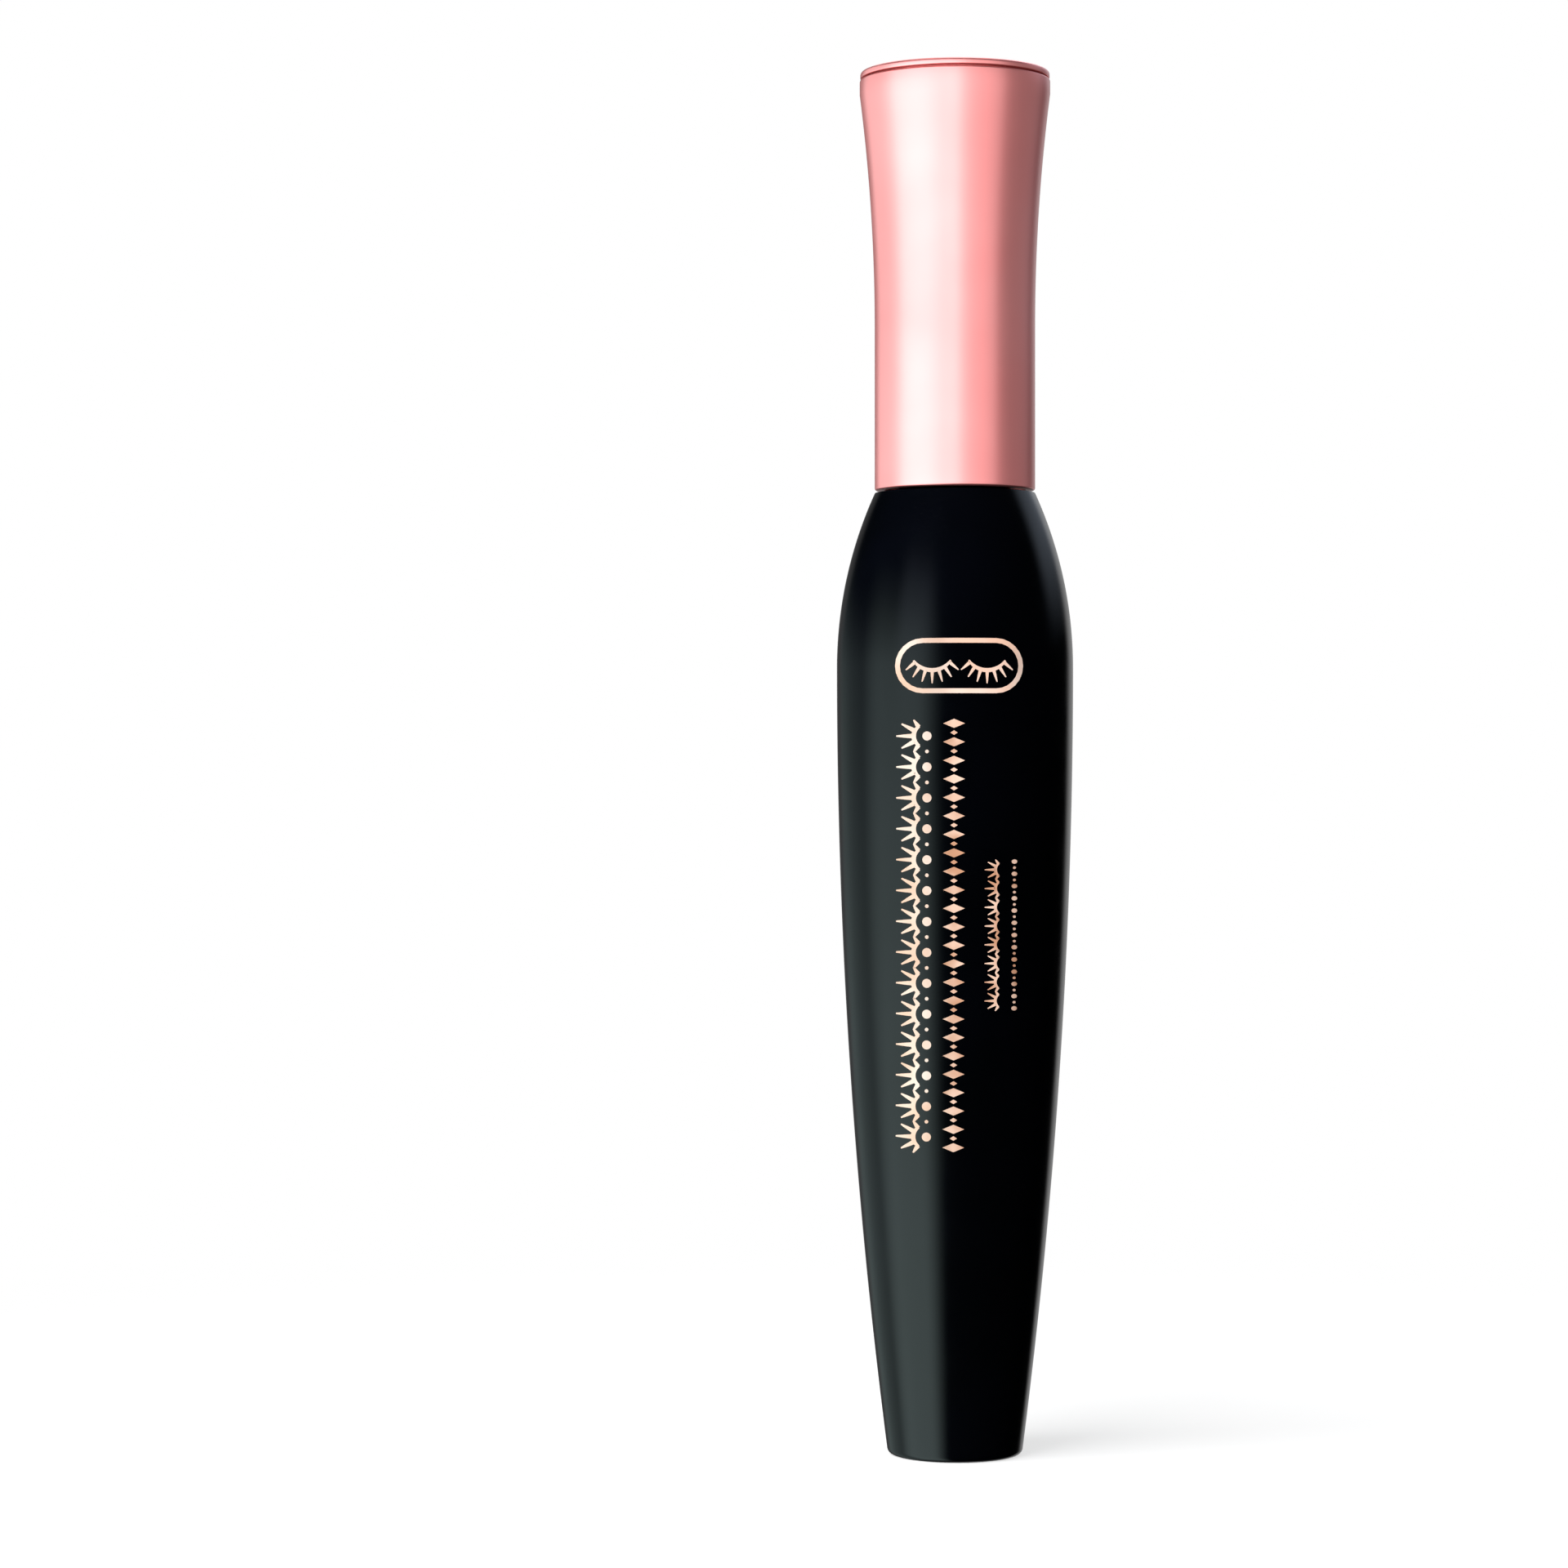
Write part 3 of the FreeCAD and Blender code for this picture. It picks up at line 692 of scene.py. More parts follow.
class LashTree(ShapeTree):
    """Lays out closed eyes in a row, flat in the XZ plane: a lid's arc and a fan of lashes.

    Args:
        lash_steps: Number of steps along a lash.
        lash_narrowing: How much narrower its tip is, as a share of its root.
        lash_curve: How late it narrows: 1 for evenly.
        lid_steps: Number of steps along a lid.
        lid_overhang: The lid's angle as a share of the fan's.
        lid_narrowing: How fast the lid narrows towards its ends.
    """

    name = "closed_eyes"
    sizes = {"Eyes": "Int", "Lashes": "Int", "Start": "Vector", "Step": "Vector",
             "Aim": "Float", "Spread": "Float", "Lid Radius": "Float", "Lid Width": "Float",
             "Length": "Float", "Width": "Float", "Shortening": "Float"}
    lash_steps = 8
    lash_narrowing = 0.7
    lash_curve = 1.4
    lid_steps = 20
    lid_overhang = 1.12
    lid_narrowing = 2.2

    def fill(self) -> Link:
        """Repeats one lash round each eye's centre, and one lid at each centre.

        Returns:
            The eyes.
        """
        given, add = self.given, self.add
        index = add("GeometryNodeInputIndex")
        eye = self.group(index, given["Lashes"])
        gaps = add(MATH, "SUBTRACT", (given["Lashes"], 1.0))
        number = add(MATH, "MODULO", (index, given["Lashes"]))
        share = add(MATH, "SUBTRACT", (add(MATH, "DIVIDE", (number, gaps)), 0.5))
        angle = add(MATH, "ADD", (given["Aim"], add(MATH, "MULTIPLY", (share, given["Spread"]))))
        down = add(MATH, "MULTIPLY", (add(MATH, "SINE", (angle,)), -1.0))
        root = add(JOIN, None, (
            add(MATH, "MULTIPLY", (given["Lid Radius"], add(MATH, "COSINE", (angle,)))), 0.0,
            add(MATH, "MULTIPLY", (given["Lid Radius"], down))))
        most = add(MATH, "MULTIPLY", (given["Shortening"], 4.0))
        square = add(MATH, "POWER", (add(MATH, "ABSOLUTE", (share,)), 2.0))
        length = add(MATH, "SUBTRACT", (1.0, add(MATH, "MULTIPLY", (most, square))))
        every_lash = add(MATH, "MULTIPLY", (given["Eyes"], given["Lashes"]))
        fans = add("GeometryNodeInstanceOnPoints", None, {
            "Points": self._row(every_lash, eye, root), "Instance": self._lash(),
            "Rotation": add(JOIN, None, (0.0, angle, 0.0)),
            "Scale": add(JOIN, None, (length, 1.0, 1.0))})
        lids = add("GeometryNodeInstanceOnPoints", None, {
            "Points": self._row(given["Eyes"], index, ORIGIN), "Instance": self._lid(),
            "Rotation": add(JOIN, None, (0.0, given["Aim"], 0.0))})
        joined = add("GeometryNodeJoinGeometry", None, (fans,))
        self.tree.links.new(lids.outputs[0], joined.inputs[0])
        return joined

    def _row(self, count: Link, number: Link, offset: Link) -> Link:
        """Sets points out from the row's start.

        Args:
            count: Number of points.
            number: Each point's number of steps from the start.
            offset: What each point is moved by after that.

        Returns:
            The points.
        """
        step = self.add(VECTOR, "SCALE", {0: self.given["Step"], "Scale": number})
        place = self.add(VECTOR, "ADD", (self.given["Start"], step))
        return self.add("GeometryNodeSetPosition", None, {
            "Geometry": self.spots(count), "Position": place, "Offset": offset})

    def _strip(self, steps: int) -> tuple[Link, bpy.types.NodeOutputs]:
        """Makes a flat strip that is then bent to its shape.

        Args:
            steps: Number of steps along it.

        Returns:
            The strip, and its points' place along it and across it, from -0.5 to 0.5.
        """
        strip = self.add("GeometryNodeMeshGrid", None, {
            "Size X": 1.0, "Size Y": 1.0, "Vertices X": steps + 1, "Vertices Y": 2})
        return strip, self.add(SPLIT, None, (self.add("GeometryNodeInputPosition"),)).outputs

    def _lash(self) -> Link:
        """Shapes one lash along +X, narrowing to its tip.

        Returns:
            The lash.
        """
        add = self.add
        strip, parts = self._strip(self.lash_steps)
        along = add(MATH, "ADD", (parts["X"], 0.5))
        lost = add(MATH, "MULTIPLY", (self.lash_narrowing,
                                      add(MATH, "POWER", (along, self.lash_curve))))
        across = add(MATH, "MULTIPLY", (parts["Y"], add(MATH, "SUBTRACT", (1.0, lost))))
        shaped = add(JOIN, None, (add(MATH, "MULTIPLY", (along, self.given["Length"])), 0.0,
                                  add(MATH, "MULTIPLY", (across, self.given["Width"]))))
        return add("GeometryNodeSetPosition", None, {"Geometry": strip, "Position": shaped})

    def _lid(self) -> Link:
        """Shapes one lid about +X: an arc a little wider than the fan, thinner at its ends.

        Returns:
            The lid.
        """
        given, add = self.given, self.add
        strip, parts = self._strip(self.lid_steps)
        whole = add(MATH, "MULTIPLY", (given["Spread"], self.lid_overhang))
        angle = add(MATH, "MULTIPLY", (parts["X"], whole))
        square = add(MATH, "POWER", (add(MATH, "ABSOLUTE", (parts["X"],)), 2.0))
        taper = add(MATH, "SUBTRACT", (1.0, add(MATH, "MULTIPLY", (self.lid_narrowing, square))))
        across = add(MATH, "MULTIPLY", (parts["Y"], taper))
        radius = add(MATH, "ADD", (given["Lid Radius"],
                                   add(MATH, "MULTIPLY", (across, given["Lid Width"]))))
        shaped = add(JOIN, None, (
            add(MATH, "MULTIPLY", (radius, add(MATH, "COSINE", (angle,)))), 0.0,
            add(MATH, "MULTIPLY", (radius, add(MATH, "SINE", (angle,))))))
        return add("GeometryNodeSetPosition", None, {"Geometry": strip, "Position": shaped})


class BeadTree(ShapeTree):
    """Lays out a row of flat beads, large and small by turns, in the XZ plane."""

    name = "bead_row"
    sizes = {"Count": "Int", "Start": "Vector", "Step": "Vector", "Large": "Vector",
             "Small": "Vector", "Sides": "Int", "Cuts": "Int"}

    def fill(self) -> Link:
        """Sets a flat many-sided bead at each step, scaled by whether its number is odd.

        Returns:
            The beads.
        """
        given, add = self.given, self.add
        disc = add("GeometryNodeMeshCircle", {"fill_type": "TRIANGLE_FAN"}, {
            "Vertices": given["Sides"], "Radius": 1.0})
        fine = add("GeometryNodeSubdivideMesh", None, {"Mesh": disc, "Level": given["Cuts"]})
        upright = add("GeometryNodeTransform", None, {
            "Geometry": fine, "Rotation": (math.pi / 2, 0.0, 0.0)})
        spots = add("GeometryNodeMeshLine", None, {
            "Count": given["Count"], "Start Location": given["Start"], "Offset": given["Step"]})
        odd = add(MATH, "MODULO", (add("GeometryNodeInputIndex"), 2.0))
        size = add("ShaderNodeMix", {"data_type": "VECTOR"}, {
            0: odd, 4: given["Large"], 5: given["Small"]}).outputs[1]
        return add("GeometryNodeInstanceOnPoints", None, {
            "Points": spots, "Instance": upright, "Scale": size})


class StampTree(ShapeTree):
    """Presses flat artwork onto a body's skin as a thin closed film.

    Args:
        clear: How far in front of the axis the artwork starts, in metres.
    """

    name = "stamped_film"
    sizes = {"Skin": "Object", "Sunk": "Float", "Thickness": "Float"}
    clear = 0.03

    def fill(self) -> Link:
        """Throws each point onto the skin along +Y, then gives the film its thickness.

        Returns:
            The film.
        """
        given, add = self.given, self.add
        merged = add("GeometryNodeRealizeInstances", None, (given["Geometry"],))
        skin = add("GeometryNodeObjectInfo", {"transform_space": "RELATIVE"}, {
            "Object": given["Skin"]})
        parts = add(SPLIT, None, (add("GeometryNodeInputPosition"),)).outputs
        hit = add("GeometryNodeRaycast", {"data_type": "FLOAT"}, {
            "Target Geometry": skin.outputs["Geometry"],
            "Source Position": add(JOIN, None, (parts["X"], -self.clear, parts["Z"])),
            "Ray Direction": (0.0, 1.0, 0.0), "Ray Length": 2 * self.clear}).outputs
        sunk = add(MATH, "MULTIPLY", (given["Sunk"], -1.0))
        pressed = add("GeometryNodeSetPosition", None, {
            "Geometry": merged, "Position": hit["Hit Position"],
            "Offset": add(VECTOR, "SCALE", {0: hit["Hit Normal"], "Scale": sunk})})
        raised = add("GeometryNodeExtrudeMesh", {"mode": "FACES"}, {
            "Mesh": pressed, "Offset": hit["Hit Normal"], "Offset Scale": given["Thickness"],
            "Individual": False})
        under = add("GeometryNodeFlipFaces", None, {"Mesh": pressed})
        joined = add("GeometryNodeJoinGeometry", None, {"Geometry": raised.outputs["Mesh"]})
        self.tree.links.new(under.outputs[0], joined.inputs[0])
        return add("GeometryNodeMergeByDistance", None, {"Geometry": joined, "Distance": WELD})


class RibTree(ShapeTree):
    """Repeats a piece in equal steps round the Z axis."""

    name = "ribs_round_axis"
    sizes = {"Count": "Int"}

    def fill(self) -> Link:
        """Sets a turned copy of the piece for each step."""
        return self.round_axis(self.given["Geometry"], self.given["Count"])


@dataclass
class Workshop:
    """The trees that the pieces are made with, each made once."""

    turned: TurnedTree = field(default_factory=TurnedTree)
    thread: ThreadTree = field(default_factory=ThreadTree)
    twist: TwistTree = field(default_factory=TwistTree)
    fibres: FibreTree = field(default_factory=FibreTree)
    lashes: LashTree = field(default_factory=LashTree)
    beads: BeadTree = field(default_factory=BeadTree)
    stamp: StampTree = field(default_factory=StampTree)
    ribs: RibTree = field(default_factory=RibTree)

    def piece(self, name: str, points: list[Place] | None = None,
              faces: list[tuple[int, ...]] | None = None) -> bpy.types.Object:
        """Makes an object to start a piece from.

        Args:
            name: The piece's name.
            points: Its points; one at the origin if left out.
            faces: Its faces; if left out, the points are a chain of edges.

        Returns:
            The object.
        """
        points = points or [ORIGIN]
        mesh = bpy.data.meshes.new(name)
        edges = [] if faces else [(i, i + 1) for i in range(len(points) - 1)]
        mesh.from_pydata(points, edges, faces or [])
        made = bpy.data.objects.new(name, mesh)
        bpy.context.scene.collection.objects.link(made)
        return made

    def settle(self, piece: bpy.types.Object) -> bpy.types.Object:
        """Turns a piece's modifiers into its plain mesh, with its faces outwards.

        The edge that a turned outline leaves along the axis, which no face uses, is removed.

        Args:
            piece: The piece with its modifiers, every part of which is a closed shell.

        Returns:
            The same piece.
        """
        evaluated = piece.evaluated_get(bpy.context.evaluated_depsgraph_get())
        mesh = bpy.data.meshes.new_from_object(evaluated)
        piece.modifiers.clear()
        piece.data = mesh
        mesh.name = piece.name
        shell = bmesh.new()
        shell.from_mesh(mesh)
        unused = [edge for edge in shell.edges if not edge.link_faces]
        bmesh.ops.delete(shell, geom=unused, context="EDGES")
        bmesh.ops.recalc_face_normals(shell, faces=shell.faces)
        shell.to_mesh(mesh)
        shell.free()
        return piece

    def turn(self, name: str, outline: Outline, finish: Finish,
             segments: int = 160) -> bpy.types.Object:
        """Makes a turned piece.

        Args:
            name: The piece's name.
            outline: Its closed outline.
            finish: Its finish.
            segments: Number of steps round the axis.

        Returns:
            The piece.
        """
        made = self.piece(name, outline.points())
        self.turned.put_on(made, finish, Segments=segments, Sharp_Angle=SHARP)
        return self.settle(made)


def hand_over(piece: bpy.types.Object, body: str, finish: Finish, *nodes: str) -> None:
    """Gives a finished piece to the frame.

    Args:
        piece: The finished piece.
        body: The body that it moves with.
        finish: Its finish; not used.
        nodes: The nodes of the frame that it stands for.
    """
    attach(piece, body)
    if nodes:
        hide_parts(*nodes)
    LOG.info("%s: %d faces on %s", piece.name, len(piece.data.polygons), body)


# ---- the bottle ---------------------------------------------------------------------------------

@dataclass
class Thread:
    """The screw thread's sizes in millimetres, shared by neck and cap."""

    lead: float = 3.0
    depth: float = 0.7
    root_half: float = 0.65
    crest_half: float = 0.35
    embed: float = 0.2
    play: float = 0.15
    neck_level: float = 90.1
    neck_turns: float = 1.33
    cap_turns: float = 0.85
    share_below: float = 0.8

    @property
    def cap_level(self) -> float:
        """Level of the cap's row, which runs just under the neck's row."""
        slope = (self.root_half - self.crest_half) / self.depth
        together = 2 * self.root_half - slope * (self.depth + self.play)
        return self.neck_level - together - self.share_below * self.play

    def row(self, name: str, shop: Workshop, finish: Finish, root: float, level: float,
            turns: float, way: int) -> bpy.types.Object:
        """Makes one of the two thread rows.

        Args:
            name: The row's name.
            shop: The workshop.
            finish: The row's finish.
            root: Radius of the wall that it stands on.
            level: Level at which it starts.
            turns: Number of turns.
            way: +1 if its crest points away from the axis, -1 if towards it.

        Returns:
            The row.
        """
        made = shop.piece(name)
        shop.thread.put_on(
            made, finish, Root_Radius=root * MM, Depth=self.depth * way * MM,
            Embed=self.embed * way * MM, Root_Half=self.root_half * MM,
            Crest_Half=self.crest_half * MM, Level=level * MM, Lead=self.lead * MM, Turns=turns)
        return shop.settle(made)


@dataclass
class Bottle:
    """The blow-moulded bottle, with its threaded neck."""

    shop: Workshop
    thread: Thread
    base_radius: float = 6.1
    base_edge: float = 0.6
    recess_radius: float = 4.6
    recess_depth: float = 0.25
    belly_radius: float = 10.6
    belly_level: float = 70.5
    shoulder_radius: float = 7.2
    shoulder_level: float = 86.2
    neck_radius: float = 5.0
    neck_bore: float = 4.0
    rim_level: float = 96.0
    wall: float = 1.3
    floor_level: float = 1.8
    neck_foot: float = 0.5
    shoulder_wall: float = 2.0

    def outline(self) -> Outline:
        """Draws the wall, from the base recess round the outside and back down the inside.

        Returns:
            The outline.
        """
        belly, level = self.belly_radius, self.belly_level
        inner_belly, inner_base = belly - self.wall, self.base_radius - self.wall
        inner_top = self.shoulder_level - self.shoulder_wall
        inner_top_radius = self.shoulder_radius - self.wall
        side = tangent_radius(level - self.base_edge, belly - self.base_radius)
        shoulder = tangent_radius(self.shoulder_level - level, belly - self.shoulder_radius)
        inner_side = tangent_radius(level - self.floor_level, inner_belly - inner_base)
        inner_shoulder = tangent_radius(inner_top - level, inner_belly - inner_top_radius)
        line = Outline().to(0, self.recess_depth)
        line.to(self.recess_radius, self.recess_depth).to(self.recess_radius, 0, 0.08)
        line.to(self.base_radius - self.base_edge, 0)
        line.bulge(self.base_radius, self.base_edge, self.base_edge, LEFT, steps=8)
        line.bulge(belly, level, side, LEFT, steps=40)
        line.bulge(self.shoulder_radius, self.shoulder_level, shoulder, LEFT, steps=28)
        line.to(self.neck_radius, self.shoulder_level, 0.2)
        line.to(self.neck_radius, self.rim_level, 0.15).to(self.neck_bore, self.rim_level, 0.15)
        line.to(self.neck_bore, self.shoulder_level - self.neck_foot)
        line.to(inner_top_radius, inner_top)
        line.bulge(inner_belly, level, inner_shoulder, RIGHT, steps=10)
        line.bulge(inner_base, self.floor_level, inner_side, RIGHT, steps=14)
        return line.to(0, self.floor_level)

    def build(self) -> bpy.types.Object:
        """Makes the bottle and its thread.

        Returns:
            The bottle, without its thread.
        """
        body = self.shop.turn("bottle_moulding", self.outline(), BLACK_BOTTLE, segments=192)
        hand_over(body, "bottle", BLACK_BOTTLE, "bottle")
        row = self.thread.row("neck_thread", self.shop, BLACK_BOTTLE, self.neck_radius,
                              self.thread.neck_level, self.thread.neck_turns, 1)
        hand_over(row, "bottle", BLACK_BOTTLE)
        return body


@dataclass
class BottleInsides:
    """What is fixed in the bottle: the wiper, the paste and the label under the base."""

    shop: Workshop
    bottle: Bottle
    flange_height: float = 0.8
    tube_bore: float = 3.45
    cone_level: float = 88.5
    lip_level: float = 84.6
    lip_height: float = 0.4
    lip_bore: float = 2.05
    lip_wall: float = 0.45
    paste_level: float = 66.0
    paste_tunnel: float = 3.8
    paste_gap: float = 0.05
    label_radius: float = 4.4
    label_height: float = 0.15

    def build(self) -> None:
        """Makes the three pieces."""
        hand_over(self._wiper(), "bottle", NATURAL_WIPER, "wiper")
        hand_over(self._paste(), "bottle", PASTE, "mascara_paste")
        hand_over(self._label(), "bottle", PAPER, "base_label")

    def _wiper(self) -> bpy.types.Object:
        """Makes the plug: flange, tube and conical lip.

        Returns:
            The piece.
        """
        b = self.bottle
        top = b.rim_level + self.flange_height
        line = Outline().to(self.tube_bore, top, 0.2).to(self.tube_bore, self.cone_level, 0.3)
        line.to(self.lip_bore, self.lip_level + self.lip_height, 0.1)
        line.to(self.lip_bore, self.lip_level, 0.08)
        line.to(self.lip_bore + self.lip_wall, self.lip_level, 0.08)
        line.to(b.neck_bore, self.cone_level, 0.3).to(b.neck_bore, b.rim_level)
        line.to(b.neck_radius, b.rim_level, 0.1).to(b.neck_radius, top, 0.2)
        return self.shop.turn("wiper_plug", line, NATURAL_WIPER, segments=96)

    def _paste(self) -> bpy.types.Object:
        """Makes the fill, up to its level, round the tunnel that the brush leaves.

        Returns:
            The piece.
        """
        b = self.bottle
        gap = b.wall + self.paste_gap
        belly, base = b.belly_radius - gap, b.base_radius - gap
        side = tangent_radius(b.belly_level - b.floor_level, belly - base)
        top = belly - (b.belly_level - self.paste_level) ** 2 / (2 * side)
        line = Outline().to(0, b.floor_level).to(base, b.floor_level)
        line.bulge(top, self.paste_level, side, LEFT, steps=14)
        line.to(self.paste_tunnel, self.paste_level, 0.8)
        line.to(self.paste_tunnel, b.floor_level + b.wall, 0.4).to(0, b.floor_level + b.wall)
        return self.shop.turn("paste_fill", line, PASTE, segments=96)

    def _label(self) -> bpy.types.Object:
        """Makes the round label in the base recess.

        Returns:
            The piece.
        """
        top = self.bottle.recess_depth
        bottom = top - self.label_height
        line = Outline().to(0, bottom).to(self.label_radius, bottom, 0.03)
        line.to(self.label_radius, top, 0.03).to(0, top)
        return self.shop.turn("base_label_disc", line, PAPER, segments=96)


@dataclass(frozen=True)
class EyeRow:
    """A row of closed eyes, in millimetres and degrees.

    Args:
        name: The piece's name.
        finish: Its foil.
        eyes: Number of eyes.
        lashes: Number of lashes of each eye.
        start: Centre of the first eye, across and up.
        end: Centre of the last eye.
        aim: Direction of the middle lash, 90 for down and 180 for left.
        spread: Angle between the outer lashes.
        lid_radius: Radius of the lid's arc.
        lid_width: The lid's width.
        length: Length of the middle lash.
        width: A lash's width at its root.
        shortening: How much shorter the outer lashes are, as a share.
    """

    name: str
    finish: Finish
    eyes: int
    lashes: int
    start: Point
    end: Point
    aim: float
    spread: float
    lid_radius: float
    lid_width: float
    length: float
    width: float
    shortening: float


@dataclass(frozen=True)
class BeadRow:
    """A row of flat beads, large and small by turns, in millimetres.

    Args:
        name: The piece's name.
        finish: Its foil.
        count: Number of beads.
        start: Centre of the first bead, across and up.
        end: Centre of the last bead.
        large: Half-width and half-height of the large beads.
        small: The same of the small beads.
        sides: Number of sides, 4 for a diamond.
        cuts: How often each side is halved, so that a wide bead follows the bottle's curve.
    """

    name: str
    finish: Finish
    count: int
    start: Point
    end: Point
    large: Point
    small: Point
    sides: int
    cuts: int


@dataclass
class FoilArtwork:
    """The decoration stamped on the front: a capsule badge, and rows of closed eyes and beads.

    Distances are millimetres across from the axis and up from the base.
    """

    shop: Workshop
    skin: bpy.types.Object
    badge_level: float = 70.45
    badge_half_width: float = 5.4
    badge_half_height: float = 2.2
    badge_line: float = 0.42
    badge_rounds: int = 12
    badge_straights: int = 16
    sunk: float = 0.02
    thickness: float = 0.032
    eyes: tuple[EyeRow, ...] = (
        EyeRow("foil_badge_eyes", FOIL_PAINTED_HIGHLIGHT, 2, 7, (-2.4, 72.0), (2.4, 72.0), 90, 100, 1.95, 0.36,
               1.15, 0.3, 0.1),
        EyeRow("foil_large_eyes", FOIL_PAINTED_HIGHLIGHT, 14, 5, (-3.05, 64.3), (-3.05, 29.1), 180, 112, 0.95,
               0.4, 1.5, 0.4, 0.5),
        EyeRow("foil_side_eyes", ROSE_FOIL, 8, 5, (3.75, 52.6), (3.75, 41.1), 180, 112, 0.6,
               0.26, 0.95, 0.25, 0.5),
    )
    beads: tuple[BeadRow, ...] = (
        BeadRow("foil_iris_beads", FOIL_PAINTED_HIGHLIGHT, 27, (-2.85, 64.3), (-2.85, 29.1), (0.4, 0.4),
                (0.16, 0.16), 16, 0),
        BeadRow("foil_diamond_beads", ROSE_FOIL, 47, (-0.5, 65.4), (-0.5, 28.2), (0.95, 0.4),
                (0.32, 0.2), 4, 2),
        BeadRow("foil_dotted_line", ROSE_FOIL, 25, (4.85, 53.3), (4.85, 40.4), (0.26, 0.2),
                (0.14, 0.12), 8, 0),
    )

    def build(self) -> list[bpy.types.Object]:
        """Makes the badge and the rows, and hands them over.

        Returns:
            The pieces.
        """
        rows = [self._eyes(row) for row in self.eyes] + [self._beads(row) for row in self.beads]
        return [self._badge_ring(), *rows]

    def _stamp(self, art: bpy.types.Object, finish: Finish) -> bpy.types.Object:
        """Presses flat artwork onto the bottle and hands it over.

        Args:
            art: The artwork, flat in the XZ plane.
            finish: Its foil.

        Returns:
            The same piece.
        """
        self.shop.stamp.put_on(art, finish, Skin=self.skin, Sunk=self.sunk * MM,
                               Thickness=self.thickness * MM)
        hand_over(self.shop.settle(art), "bottle", finish)
        return art

    def _badge_ring(self) -> bpy.types.Object:
        """Makes the badge's capsule outline, as a flat band.

        Returns:
            The piece.
        """
        radius, rounds, straights = self.badge_half_height, self.badge_rounds, self.badge_straights
        straight = self.badge_half_width - radius
        route = []
        for side in (1, -1):
            centre = Vector((straight * side, self.badge_level))
            for step in range(rounds + 1):
                angle = math.pi * (step / rounds - side / 2)
                out = Vector((math.cos(angle), math.sin(angle)))
                route.append((centre + out * radius, out))
            for step in range(1, straights):
                spot = Vector((straight * side * (1 - 2 * step / straights),
                               self.badge_level + radius * side))
                route.append((spot, Vector((0.0, side))))
        half = self.badge_line / 2
        edges = [spot + out * way for spot, out in route for way in (half, -half)]
        count = len(edges)
        faces = [(i, i + 1, (i + 3) % count, (i + 2) % count) for i in range(0, count, 2)]
        points = [(edge.x * MM, 0.0, edge.y * MM) for edge in edges]
        return self._stamp(self.shop.piece("foil_badge_ring", points, faces), FOIL_PAINTED_HIGHLIGHT)

    def _eyes(self, row: EyeRow) -> bpy.types.Object:
        """Makes one row of closed eyes.

        Args:
            row: The row's sizes.

        Returns:
            The piece.
        """
        art = self.shop.piece(row.name)
        self.shop.lashes.put_on(
            art, row.finish, Eyes=row.eyes, Lashes=row.lashes, Start=across_up(row.start),
            Step=across_up(step_between(row.start, row.end, row.eyes)),
            Aim=math.radians(row.aim), Spread=math.radians(row.spread),
            Lid_Radius=row.lid_radius * MM, Lid_Width=row.lid_width * MM,
            Length=row.length * MM, Width=row.width * MM, Shortening=row.shortening)
        return self._stamp(art, row.finish)

    def _beads(self, row: BeadRow) -> bpy.types.Object:
        """Makes one row of beads.

        Args:
            row: The row's sizes.

        Returns:
            The piece.
        """
        art = self.shop.piece(row.name)
        self.shop.beads.put_on(
            art, row.finish, Count=row.count, Start=across_up(row.start),
            Step=across_up(step_between(row.start, row.end, row.count)),
            Large=across_up(row.large), Small=across_up(row.small), Sides=row.sides,
            Cuts=row.cuts)
        return self._stamp(art, row.finish)


def across_up(place: Point) -> Place:
    """Turns millimetres across and up the front into metres in the XZ plane."""
    return place[0] * MM, 0.0, place[1] * MM


def step_between(start: Point, end: Point, count: int) -> Point:
    """Works out the even step that takes start to end over a count of places."""
    return tuple((last - first) / (count - 1) for first, last in zip(start, end))


# ---- the cap ------------------------------------------------------------------------------------

